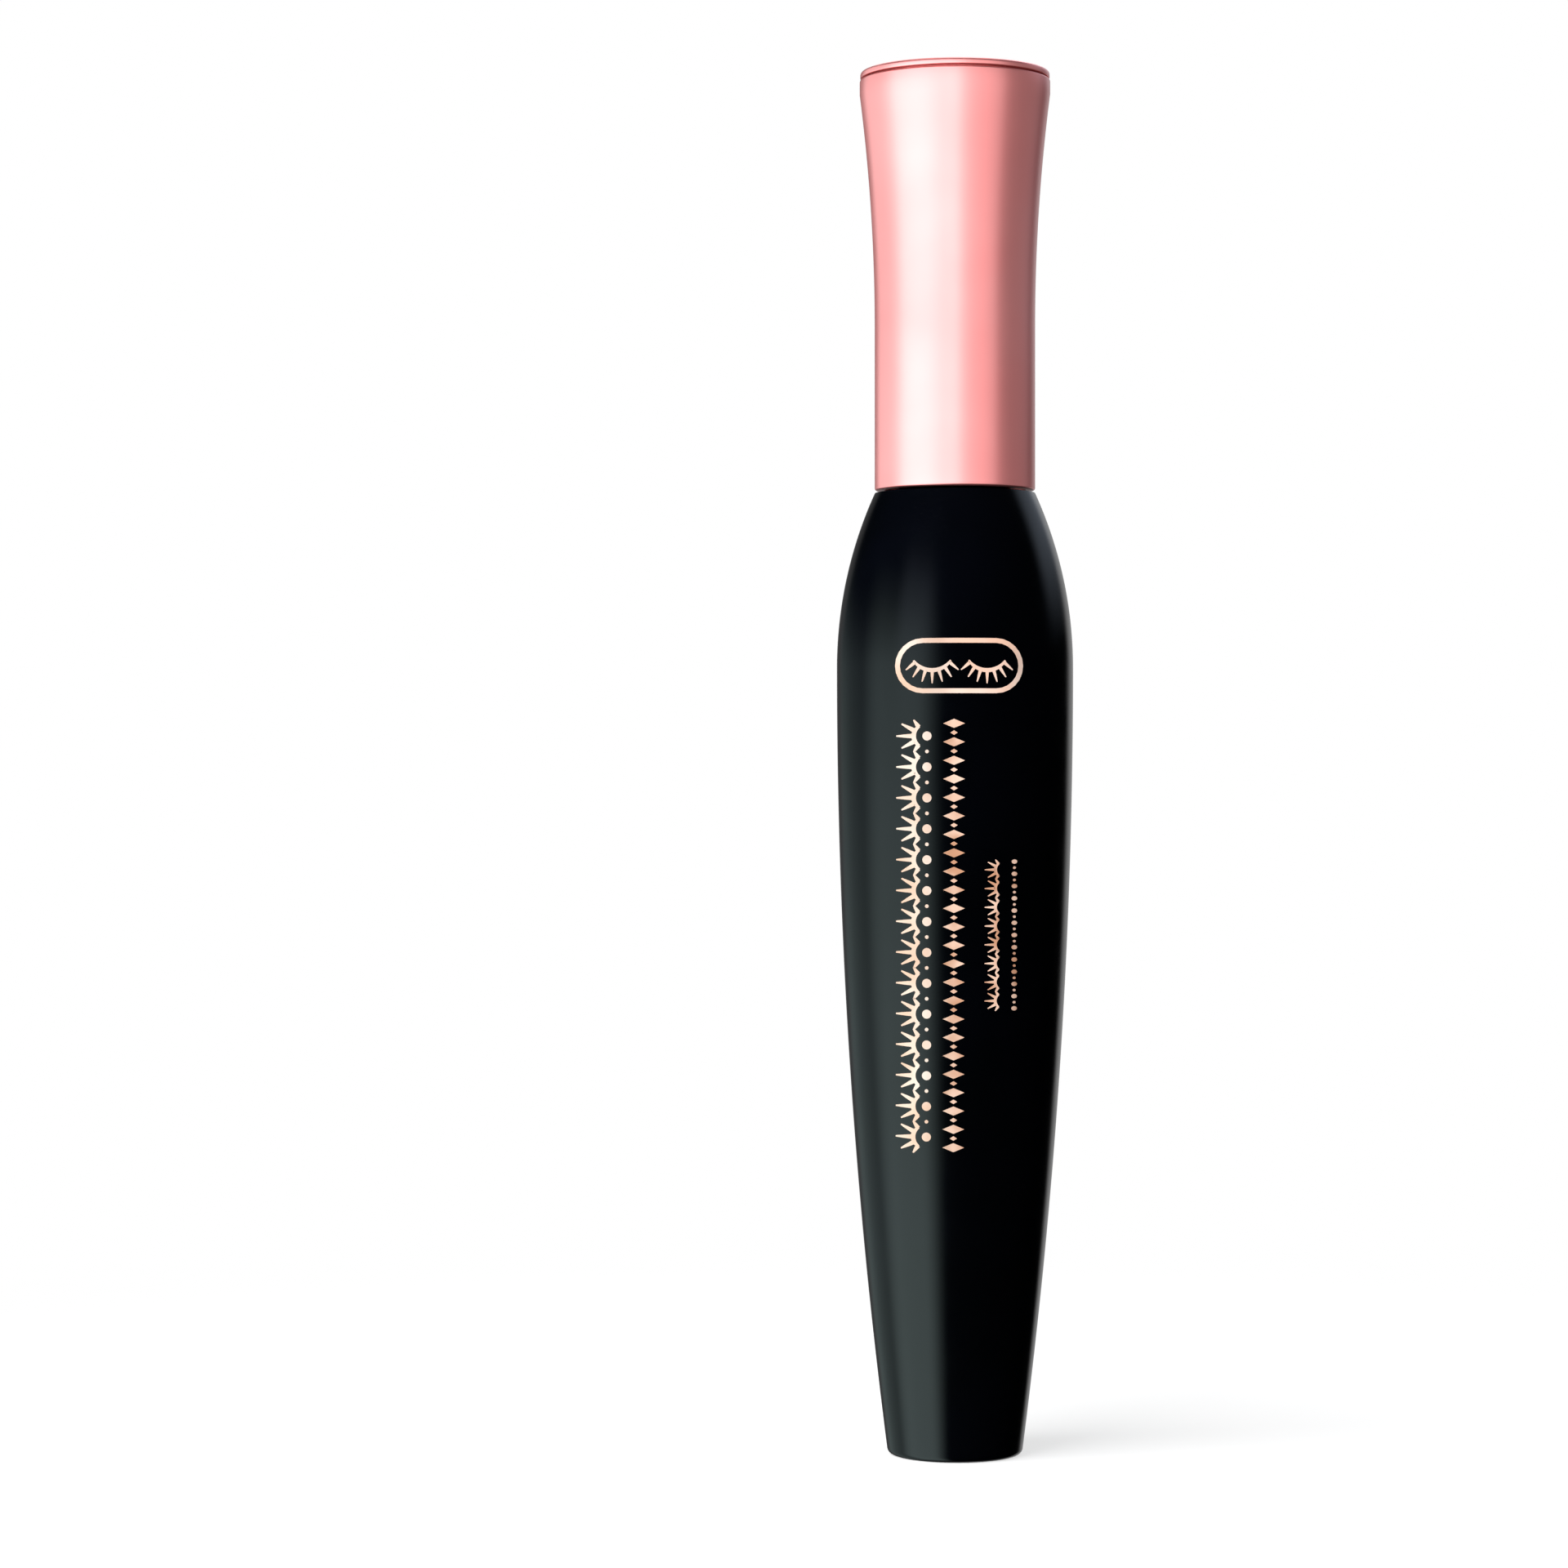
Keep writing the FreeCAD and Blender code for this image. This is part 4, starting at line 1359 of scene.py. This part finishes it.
@dataclass
class Cap:
    """The cap: shell, end disc, inner cap with its thread and ribs, and the sealing ring."""

    shop: Workshop
    thread: Thread
    bottle: Bottle
    gap: float = 0.25
    wall: float = 0.85
    flare_level: float = 101.0
    flare_end_level: float = 122.0
    inner_flare_end_level: float = 119.0
    flare_radius: float = 8.55
    height: float = 124.0
    disc_height: float = 0.6
    disc_seam: float = 0.15
    disc_inset: float = 0.05
    skirt_play: float = 0.08
    skirt_wall: float = 0.7
    skirt_height: float = 3.6
    ring_bottom: float = 96.85
    ring_height: float = 0.5
    ceiling_level: float = 97.4
    ceiling_height: float = 1.2
    socket_radius: float = 4.2
    socket_depth: float = 12.0
    socket_lid: float = 1.0
    head_radius: float = 3.0
    rib_height: float = 4.5
    rib_width: float = 0.8
    rib_count: int = 6
    rib_sunk: float = 0.1
    rib_in_socket: float = 0.3
    rib_gap: float = 0.05
    rib_edge: float = 0.12
    skirt_gap: float = 0.7
    ring_bore: float = 3.7
    ring_radius: float = 4.9
    ring_edge: float = 0.12

    @property
    def bore(self) -> float:
        """Inner radius of the shell's straight part."""
        return self.bottle.shoulder_radius - self.wall

    @property
    def top_bore(self) -> float:
        """Inner radius of the shell at its closed end."""
        return self.flare_radius - self.wall

    @property
    def thread_root(self) -> float:
        """Inner radius of the inner cap's skirt."""
        return self.bottle.neck_radius + self.thread.depth + self.thread.play

    def build(self) -> list[bpy.types.Object]:
        """Makes the cap's pieces and hands them over.

        Returns:
            The two metallised ones: the shell and the end disc.
        """
        shell, disc = self._shell(), self._end_disc()
        hand_over(shell, "applicator", PINK_METAL, "cap_shell")
        hand_over(disc, "cap_end_disc", PINK_METAL, "cap_end_disc")
        hand_over(self._inner_cap(), "applicator", BLACK_INNER, "inner_cap")
        hand_over(self._ribs(), "applicator", BLACK_INNER)
        row = self.thread.row("inner_cap_thread", self.shop, BLACK_INNER, self.thread_root,
                              self.thread.cap_level, self.thread.cap_turns, -1)
        hand_over(row, "applicator", BLACK_INNER)
        hand_over(self._ring(), "gasket", FOAM_RING, "gasket")
        return [shell, disc]

    def _shell(self) -> bpy.types.Object:
        """Makes the flared outer shell.

        Returns:
            The piece.
        """
        outside = self.bottle.shoulder_radius
        bottom = self.bottle.shoulder_level + self.gap
        top = self.height - self.disc_height - self.disc_seam
        flare = tangent_radius(self.flare_end_level - self.flare_level,
                               self.flare_radius - outside)
        inner = tangent_radius(self.inner_flare_end_level - self.flare_level,
                               self.top_bore - self.bore)
        line = Outline().to(self.bore, bottom, 0.12).to(outside, bottom, 0.2)
        line.to(outside, self.flare_level)
        line.bulge(self.flare_radius, self.flare_end_level, flare, RIGHT, steps=24)
        line.to(self.flare_radius, top, 0.16).to(self.top_bore, top, 0.1)
        line.to(self.top_bore, self.inner_flare_end_level)
        line.bulge(self.bore, self.flare_level, inner, LEFT, steps=12)
        return self.shop.turn("cap_overshell", line, PINK_METAL, segments=192)

    def _end_disc(self) -> bpy.types.Object:
        """Makes the snapped-in end disc with its skirt.

        Returns:
            The piece.
        """
        bottom = self.height - self.disc_height
        radius = self.flare_radius - self.disc_inset
        skirt = self.top_bore - self.skirt_play
        line = Outline().to(0, bottom).to(skirt - self.skirt_wall, bottom, 0.2)
        line.to(skirt - self.skirt_wall, bottom - self.skirt_height, 0.1)
        line.to(skirt, bottom - self.skirt_height, 0.2).to(skirt, bottom)
        line.to(radius, bottom, 0.1).to(radius, self.height, 0.3)
        return self.shop.turn("cap_end_plug", line.to(0, self.height), PINK_METAL, segments=192)

    def _inner_cap(self) -> bpy.types.Object:
        """Makes the threaded skirt, its ceiling and the socket for the rod's head.

        Returns:
            The piece.
        """
        bottom = self.bottle.shoulder_level + self.skirt_gap
        ceiling_top = self.ceiling_level + self.ceiling_height
        end = self.ceiling_level + self.socket_depth
        lid = end + self.socket_lid
        line = Outline().to(self.thread_root, bottom, 0.15).to(self.bore, bottom, 0.15)
        line.to(self.bore, ceiling_top, 0.2).to(self.socket_radius, ceiling_top, 0.3)
        line.to(self.socket_radius, lid, 0.4).to(0, lid).to(0, end).to(self.head_radius, end)
        line.to(self.head_radius, self.ceiling_level).to(self.thread_root, self.ceiling_level, 0.2)
        return self.shop.turn("inner_cap_moulding", line, BLACK_INNER, segments=128)

    def _ribs(self) -> bpy.types.Object:
        """Makes the ribs that centre the socket in the shell.

        Returns:
            The piece.
        """
        ceiling_top = self.ceiling_level + self.ceiling_height
        low, high = (ceiling_top - self.rib_sunk) * MM, (ceiling_top + self.rib_height) * MM
        near = (self.socket_radius - self.rib_in_socket) * MM
        far = (self.bore - self.rib_gap) * MM
        half = self.rib_width / 2 * MM
        points = [(x, y, z) for z in (low, high) for x in (near, far) for y in (-half, half)]
        faces = [(0, 1, 3, 2), (4, 6, 7, 5), (0, 4, 5, 1),
                 (2, 3, 7, 6), (0, 2, 6, 4), (1, 5, 7, 3)]
        made = self.shop.piece("inner_cap_ribs", points, faces)
        soften = made.modifiers.new("soft_edges", "BEVEL")
        soften.width = self.rib_edge * MM
        soften.segments = 3
        self.shop.ribs.put_on(made, BLACK_INNER, Count=self.rib_count)
        return self.shop.settle(made)

    def _ring(self) -> bpy.types.Object:
        """Makes the flat sealing ring.

        Returns:
            The piece.
        """
        top = self.ring_bottom + self.ring_height
        line = Outline()
        for radius, level in ((self.ring_bore, self.ring_bottom),
                              (self.ring_radius, self.ring_bottom),
                              (self.ring_radius, top), (self.ring_bore, top)):
            line.to(radius, level, self.ring_edge)
        return self.shop.turn("sealing_ring", line, FOAM_RING, segments=96)


# ---- the applicator -----------------------------------------------------------------------------

@dataclass
class Applicator:
    """The rod, the twisted wire and the fibres."""

    shop: Workshop
    cap: Cap
    rod_radius: float = 2.0
    tip_level: float = 31.5
    tip_radius: float = 1.0
    taper: float = 3.0
    collar_radius: float = 3.4
    collar_height: float = 0.5
    head_chamfer: float = 0.4
    anchor: float = 8.0
    strand_radius: float = 0.32
    twist_radius: float = 0.335
    pitch: float = 2.92
    wire_end: float = 0.68
    wire_foot: float = 0.5
    wire_in_rod: float = 1.5
    wire_tip_height: float = 1.0
    brush_tip: float = 6.0
    first_fibre: float = 0.25
    fibre_top: float = 30.6
    fibre_reach: float = 3.37
    fibre_tip_reach: float = 1.75
    taper_level: float = 15.4
    fibre_radius: float = 0.06
    fibre_count: int = 12000
    fibre_spread: float = 38.0
    fibre_lean: float = 3.5
    fibre_bend: float = 0.35
    fibre_shortening: float = 0.36
    fibre_seed: int = 11

    def build(self) -> None:
        """Makes the applicator's pieces."""
        hand_over(self._rod(), "applicator", BLACK_ROD, "rod")
        hand_over(self._wire(), "applicator", STEEL_WIRE, "brush_wire")
        hand_over(self._wire_ends(), "applicator", STEEL_WIRE)
        hand_over(self._fibres(), "applicator", NYLON, "brush_bristles")

    def _rod(self) -> bpy.types.Object:
        """Makes the rod: rounded end, shank, stop collar and head.

        Returns:
            The piece.
        """
        taper = tangent_radius(self.taper, self.rod_radius - self.tip_radius)
        ceiling = self.cap.ceiling_level
        end = ceiling + self.cap.socket_depth
        bore_end = self.tip_level + self.anchor
        head = self.cap.head_radius
        line = Outline().to(self.wire_end, self.tip_level, 0.05)
        line.to(self.tip_radius, self.tip_level)
        line.bulge(self.rod_radius, self.tip_level + self.taper, taper, LEFT, steps=14)
        line.to(self.rod_radius, ceiling - self.collar_height, 0.15)
        line.to(self.collar_radius, ceiling - self.collar_height, 0.1)
        line.to(self.collar_radius, ceiling).to(head, ceiling)
        line.to(head, end - self.head_chamfer).to(head - self.head_chamfer, end)
        line.to(0, end).to(0, bore_end)
        return self.shop.turn("wand_rod", line.to(self.wire_end, bore_end), BLACK_ROD, segments=96)

    def _wire(self) -> bpy.types.Object:
        """Makes the two strands, from the rod's bore to the brush's tip.

        Returns:
            The piece.
        """
        made = self.shop.piece("twisted_wire")
        self.shop.twist.put_on(
            made, STEEL_WIRE, Strands=2, Strand_Radius=self.strand_radius * MM,
            Twist_Radius=self.twist_radius * MM, Bottom=(self.brush_tip + self.wire_foot) * MM,
            Top=(self.tip_level + self.wire_in_rod) * MM, Pitch=self.pitch * MM)
        return self.shop.settle(made)

    def _wire_ends(self) -> bpy.types.Object:
        """Makes the wire's bent tip.

        Returns:
            The piece.
        """
        low, high = self.brush_tip, self.brush_tip + self.wire_tip_height
        line = Outline().to(0, low).to(self.wire_end, low, 0.5).to(self.wire_end, high, 0.3)
        return self.shop.turn("wire_tip", line.to(0, high), STEEL_WIRE, segments=48)

    def _fibres(self) -> bpy.types.Object:
        """Makes the fibres, in rows that wind with the wire.

        Returns:
            The piece.
        """
        made = self.shop.piece("nylon_fibres")
        self.shop.fibres.put_on(
            made, NYLON, Count=self.fibre_count,
            Bottom=(self.brush_tip + self.first_fibre) * MM,
            Top=self.fibre_top * MM, Pitch=self.pitch * MM, Radius=self.fibre_reach * MM,
            Tip_Radius=self.fibre_tip_reach * MM, Taper_Level=self.taper_level * MM,
            Fibre_Radius=self.fibre_radius * MM, Spread=math.radians(self.fibre_spread),
            Lean=math.radians(self.fibre_lean), Bend=self.fibre_bend * MM,
            Shortening=self.fibre_shortening, Seed=self.fibre_seed)
        return self.shop.settle(made)


# ---- the studio ---------------------------------------------------------------------------------

@dataclass(frozen=True)
class Glow:
    """A soft-edged bright part of the studio's walls, in degrees seen from the object.

    Args:
        bearing: Middle of it, to the left of the camera.
        half_width: Half its width.
        edge: Width of its soft sides.
        low: Lowest elevation.
        high: Highest elevation of its full brightness.
        level: Brightness.
        colour: sRGB hex colour.
        fade: Height of its soft ends.
    """

    bearing: float
    half_width: float
    edge: float
    low: float
    high: float
    level: float
    colour: str = "FFFFFF"
    fade: float = 18.0

    def light(self, add: partial, bearing: Link, height: Link) -> Link:
        """Works out the glow's light in each direction.

        Args:
            add: Adds a node to the walls' tree.
            bearing: Angle to the left of the camera, in radians.
            height: Elevation in radians.

        Returns:
            The light.
        """
        off = add(MATH, "SUBTRACT", (bearing, math.radians(self.bearing)))
        off = add(MATH, "ABSOLUTE", (add(MATH, "WRAP", (off, math.pi, -math.pi)),))
        depth = add(MATH, "MULTIPLY", (height, -1.0))
        share = self.level
        for value, start, width in ((off, self.half_width, self.edge),
                                    (height, self.high, self.fade),
                                    (depth, -self.low, self.fade)):
            inside = add(RANGE, SMOOTH, {
                "Value": value, "From Min": math.radians(start),
                "From Max": math.radians(start + width), "To Min": 1.0, "To Max": 0.0})
            share = add(MATH, "MULTIPLY", (share, inside))
        return add(VECTOR, "SCALE", {0: linear(self.colour)[:3], "Scale": share})


@dataclass(frozen=True)
class SoftBox:
    """A flat soft light that faces the object.

    Args:
        name: The light's name.
        bearing: Degrees to the left of the camera, as seen from the object.
        height: Height in metres.
        distance: Distance from the axis in metres.
        size: Width and height in metres.
        level: Brightness of its surface.
        aim: Height that it faces, in metres.
        mirrored: True if glossy skins show it.
    """

    name: str
    bearing: float
    height: float
    distance: float
    size: Point
    level: float
    aim: float = 0.1
    mirrored: bool = True

    def build(self, only_for: list[bpy.types.Object] | None = None) -> None:
        """Makes the light.

        Args:
            only_for: The only pieces that it lights; every piece if left out.
        """
        data = bpy.data.lights.new(self.name, "AREA")
        data.shape = "RECTANGLE"
        data.size, data.size_y = self.size
        data.energy = self.level * math.pi * self.size[0] * self.size[1]
        light = bpy.data.objects.new(self.name, data)
        bpy.context.scene.collection.objects.link(light)
        angle = math.radians(self.bearing)
        light.location = (-self.distance * math.sin(angle), -self.distance * math.cos(angle),
                          self.height)
        aim = Vector((0.0, 0.0, self.aim)) - light.location
        light.rotation_euler = aim.to_track_quat("-Z", "Y").to_euler()
        light.visible_camera = False
        light.visible_glossy = self.mirrored
        if only_for:
            lit = bpy.data.collections.new(f"lit_by_{self.name}")
            for piece in only_for:
                lit.objects.link(piece)
            light.light_linking.receiver_collection = lit


@dataclass
class Studio:
    """Floor, walls, lights and camera."""

    camera_place: Place = (-15.35, -378.0, 60.1)
    lens: float = 96.6
    floor_radius: float = 300.0
    floor_solid: float = 60.0
    floor_fade: float = 150.0
    floor_cover: float = 0.3
    floor_sides: int = 96
    key: SoftBox = SoftBox("key_softbox", 50.0, 0.56, 0.36, (0.5, 0.5), 12.0, 0.04, False)
    cap_lights: tuple[SoftBox, ...] = (
        SoftBox("cap_left", 39.0, 0.1, 0.45, (0.87, 0.6), 2.15),
        SoftBox("cap_back_left", 112.0, 0.1, 0.5, (0.62, 0.6), 0.97),
    )
    lid_light: SoftBox = SoftBox("lid_above", 180.0, 0.62, 0.3, (0.6, 0.6), 1.5, 0.124)
    metal_lights: tuple[SoftBox, ...] = (
        SoftBox("metal_front", -25.0, 0.1, 0.5, (0.7, 0.6), 1.18),
        SoftBox("metal_right", -97.0, 0.1, 0.5, (0.55, 0.6), 0.3),
    )
    glows: tuple[Glow, ...] = (
        Glow(59.0, 17.0, 30.0, -50.0, -18.0, 1.49, "E4FDFB", 44.0),
        Glow(42.0, 8.0, 18.0, 10.0, 20.0, 0.36, "DDEBFF", 14.0),
        Glow(118.0, 20.0, 22.0, -60.0, -10.0, 0.44, "E4FDFB", 24.0),
        Glow(165.0, 12.0, 12.0, -60.0, 20.0, 0.1),
        Glow(-164.0, 14.0, 14.0, -60.0, 60.0, 0.5),
        Glow(-135.0, 17.0, 20.0, 22.0, 72.0, 0.55, "DDEBFF"),
        Glow(0.0, 200.0, 1.0, 80.0, 95.0, 1.2),
    )

    def build(self, cap: list[bpy.types.Object], foil: list[bpy.types.Object]) -> None:
        """Sets the studio up.

        Args:
            cap: The metallised pieces, which have soft lights of their own.
            foil: The foil, which shares some of those lights.
        """
        self._floor()
        self._walls()
        self.key.build()
        for light in self.cap_lights:
            light.build(cap)
        for light in self.metal_lights:
            light.build(cap + foil)
        self.lid_light.build(cap[1:])
        self._camera()
        bpy.context.scene.view_settings.view_transform = "Standard"

    def _floor(self) -> None:
        """A round floor of thin white film on a lit table, so that its shadows stay pale."""
        angles = [math.tau * side / self.floor_sides for side in range(self.floor_sides)]
        rim = self.floor_radius * MM
        points = [ORIGIN, *((rim * math.cos(a), rim * math.sin(a), 0.0) for a in angles)]
        faces = [(0, 1 + side, 1 + (side + 1) % self.floor_sides)
                 for side in range(self.floor_sides)]
        mesh = bpy.data.meshes.new("studio_floor")
        mesh.from_pydata(points, [], faces)
        floor = bpy.data.objects.new("studio_floor", mesh)
        bpy.context.scene.collection.objects.link(floor)
        material = bpy.data.materials.new("studio_floor_white")
        material.use_nodes = True
        tree = material.node_tree
        shader = tree.nodes["Principled BSDF"]
        shader.inputs["Base Color"].default_value = linear("F4F4F4")
        shader.inputs["Roughness"].default_value = 0.9
        place = add_node(tree, "ShaderNodeTexCoord").outputs["Object"]
        away = add_node(tree, VECTOR, "LENGTH", (place,))
        fade = add_node(tree, RANGE, SMOOTH, {
            "Value": away.outputs["Value"], "From Min": self.floor_solid * MM,
            "From Max": self.floor_fade * MM, "To Min": self.floor_cover, "To Max": 0.0})
        tree.links.new(fade.outputs[0], shader.inputs["Alpha"])
        mesh.materials.append(material)
        floor.visible_glossy = False

    def _walls(self) -> None:
        """White behind the object, and soft bright parts that its glossy skin mirrors."""
        world = bpy.data.worlds.new("studio_walls")
        bpy.context.scene.world = world
        world.use_nodes = True
        tree = world.node_tree
        tree.nodes.clear()
        add = partial(add_node, tree)
        way = add("ShaderNodeTexCoord").outputs["Generated"]
        parts = add(SPLIT, None, (way,)).outputs
        left, near = (add(MATH, "MULTIPLY", (parts[axis], -1.0)) for axis in "XY")
        bearing = add(MATH, "ARCTAN2", (left, near))
        height = add(MATH, "ARCSINE", (parts["Z"],))
        total = ORIGIN
        for glow in self.glows:
            total = add(VECTOR, "ADD", (total, glow.light(add, bearing, height)))
        mirrored = add("ShaderNodeBackground", None, {"Color": total, "Strength": 1.0})
        seen = add("ShaderNodeBackground", None, {"Color": linear("FFFFFF"), "Strength": 1.0})
        camera_ray = add("ShaderNodeLightPath").outputs["Is Camera Ray"]
        mixed = add("ShaderNodeMixShader", None, (camera_ray, mirrored, seen))
        add("ShaderNodeOutputWorld", None, {"Surface": mixed})

    def _camera(self) -> None:
        """A long lens, level, with the tube right of the middle of the picture."""
        data = bpy.data.cameras.new("camera")
        data.lens = self.lens
        data.sensor_width = 36.0
        data.clip_start = 0.01
        data.clip_end = 20.0
        camera = bpy.data.objects.new("camera", data)
        camera.location = Vector(self.camera_place) * MM
        camera.rotation_euler = (math.pi / 2, 0.0, 0.0)
        bpy.context.scene.collection.objects.link(camera)
        bpy.context.scene.camera = camera


def main() -> None:
    """Builds every sub-assembly in order."""
    logging.basicConfig(level=logging.INFO, format="%(name)s: %(message)s")
    shop = Workshop()
    thread = Thread()
    bottle = Bottle(shop, thread)
    skin = bottle.build()
    BottleInsides(shop, bottle).build()
    foil = FoilArtwork(shop, skin).build()
    cap = Cap(shop, thread, bottle)
    metal = cap.build()
    Applicator(shop, cap).build()
    Studio().build(metal, foil)


if __name__ == "__main__":
    main()
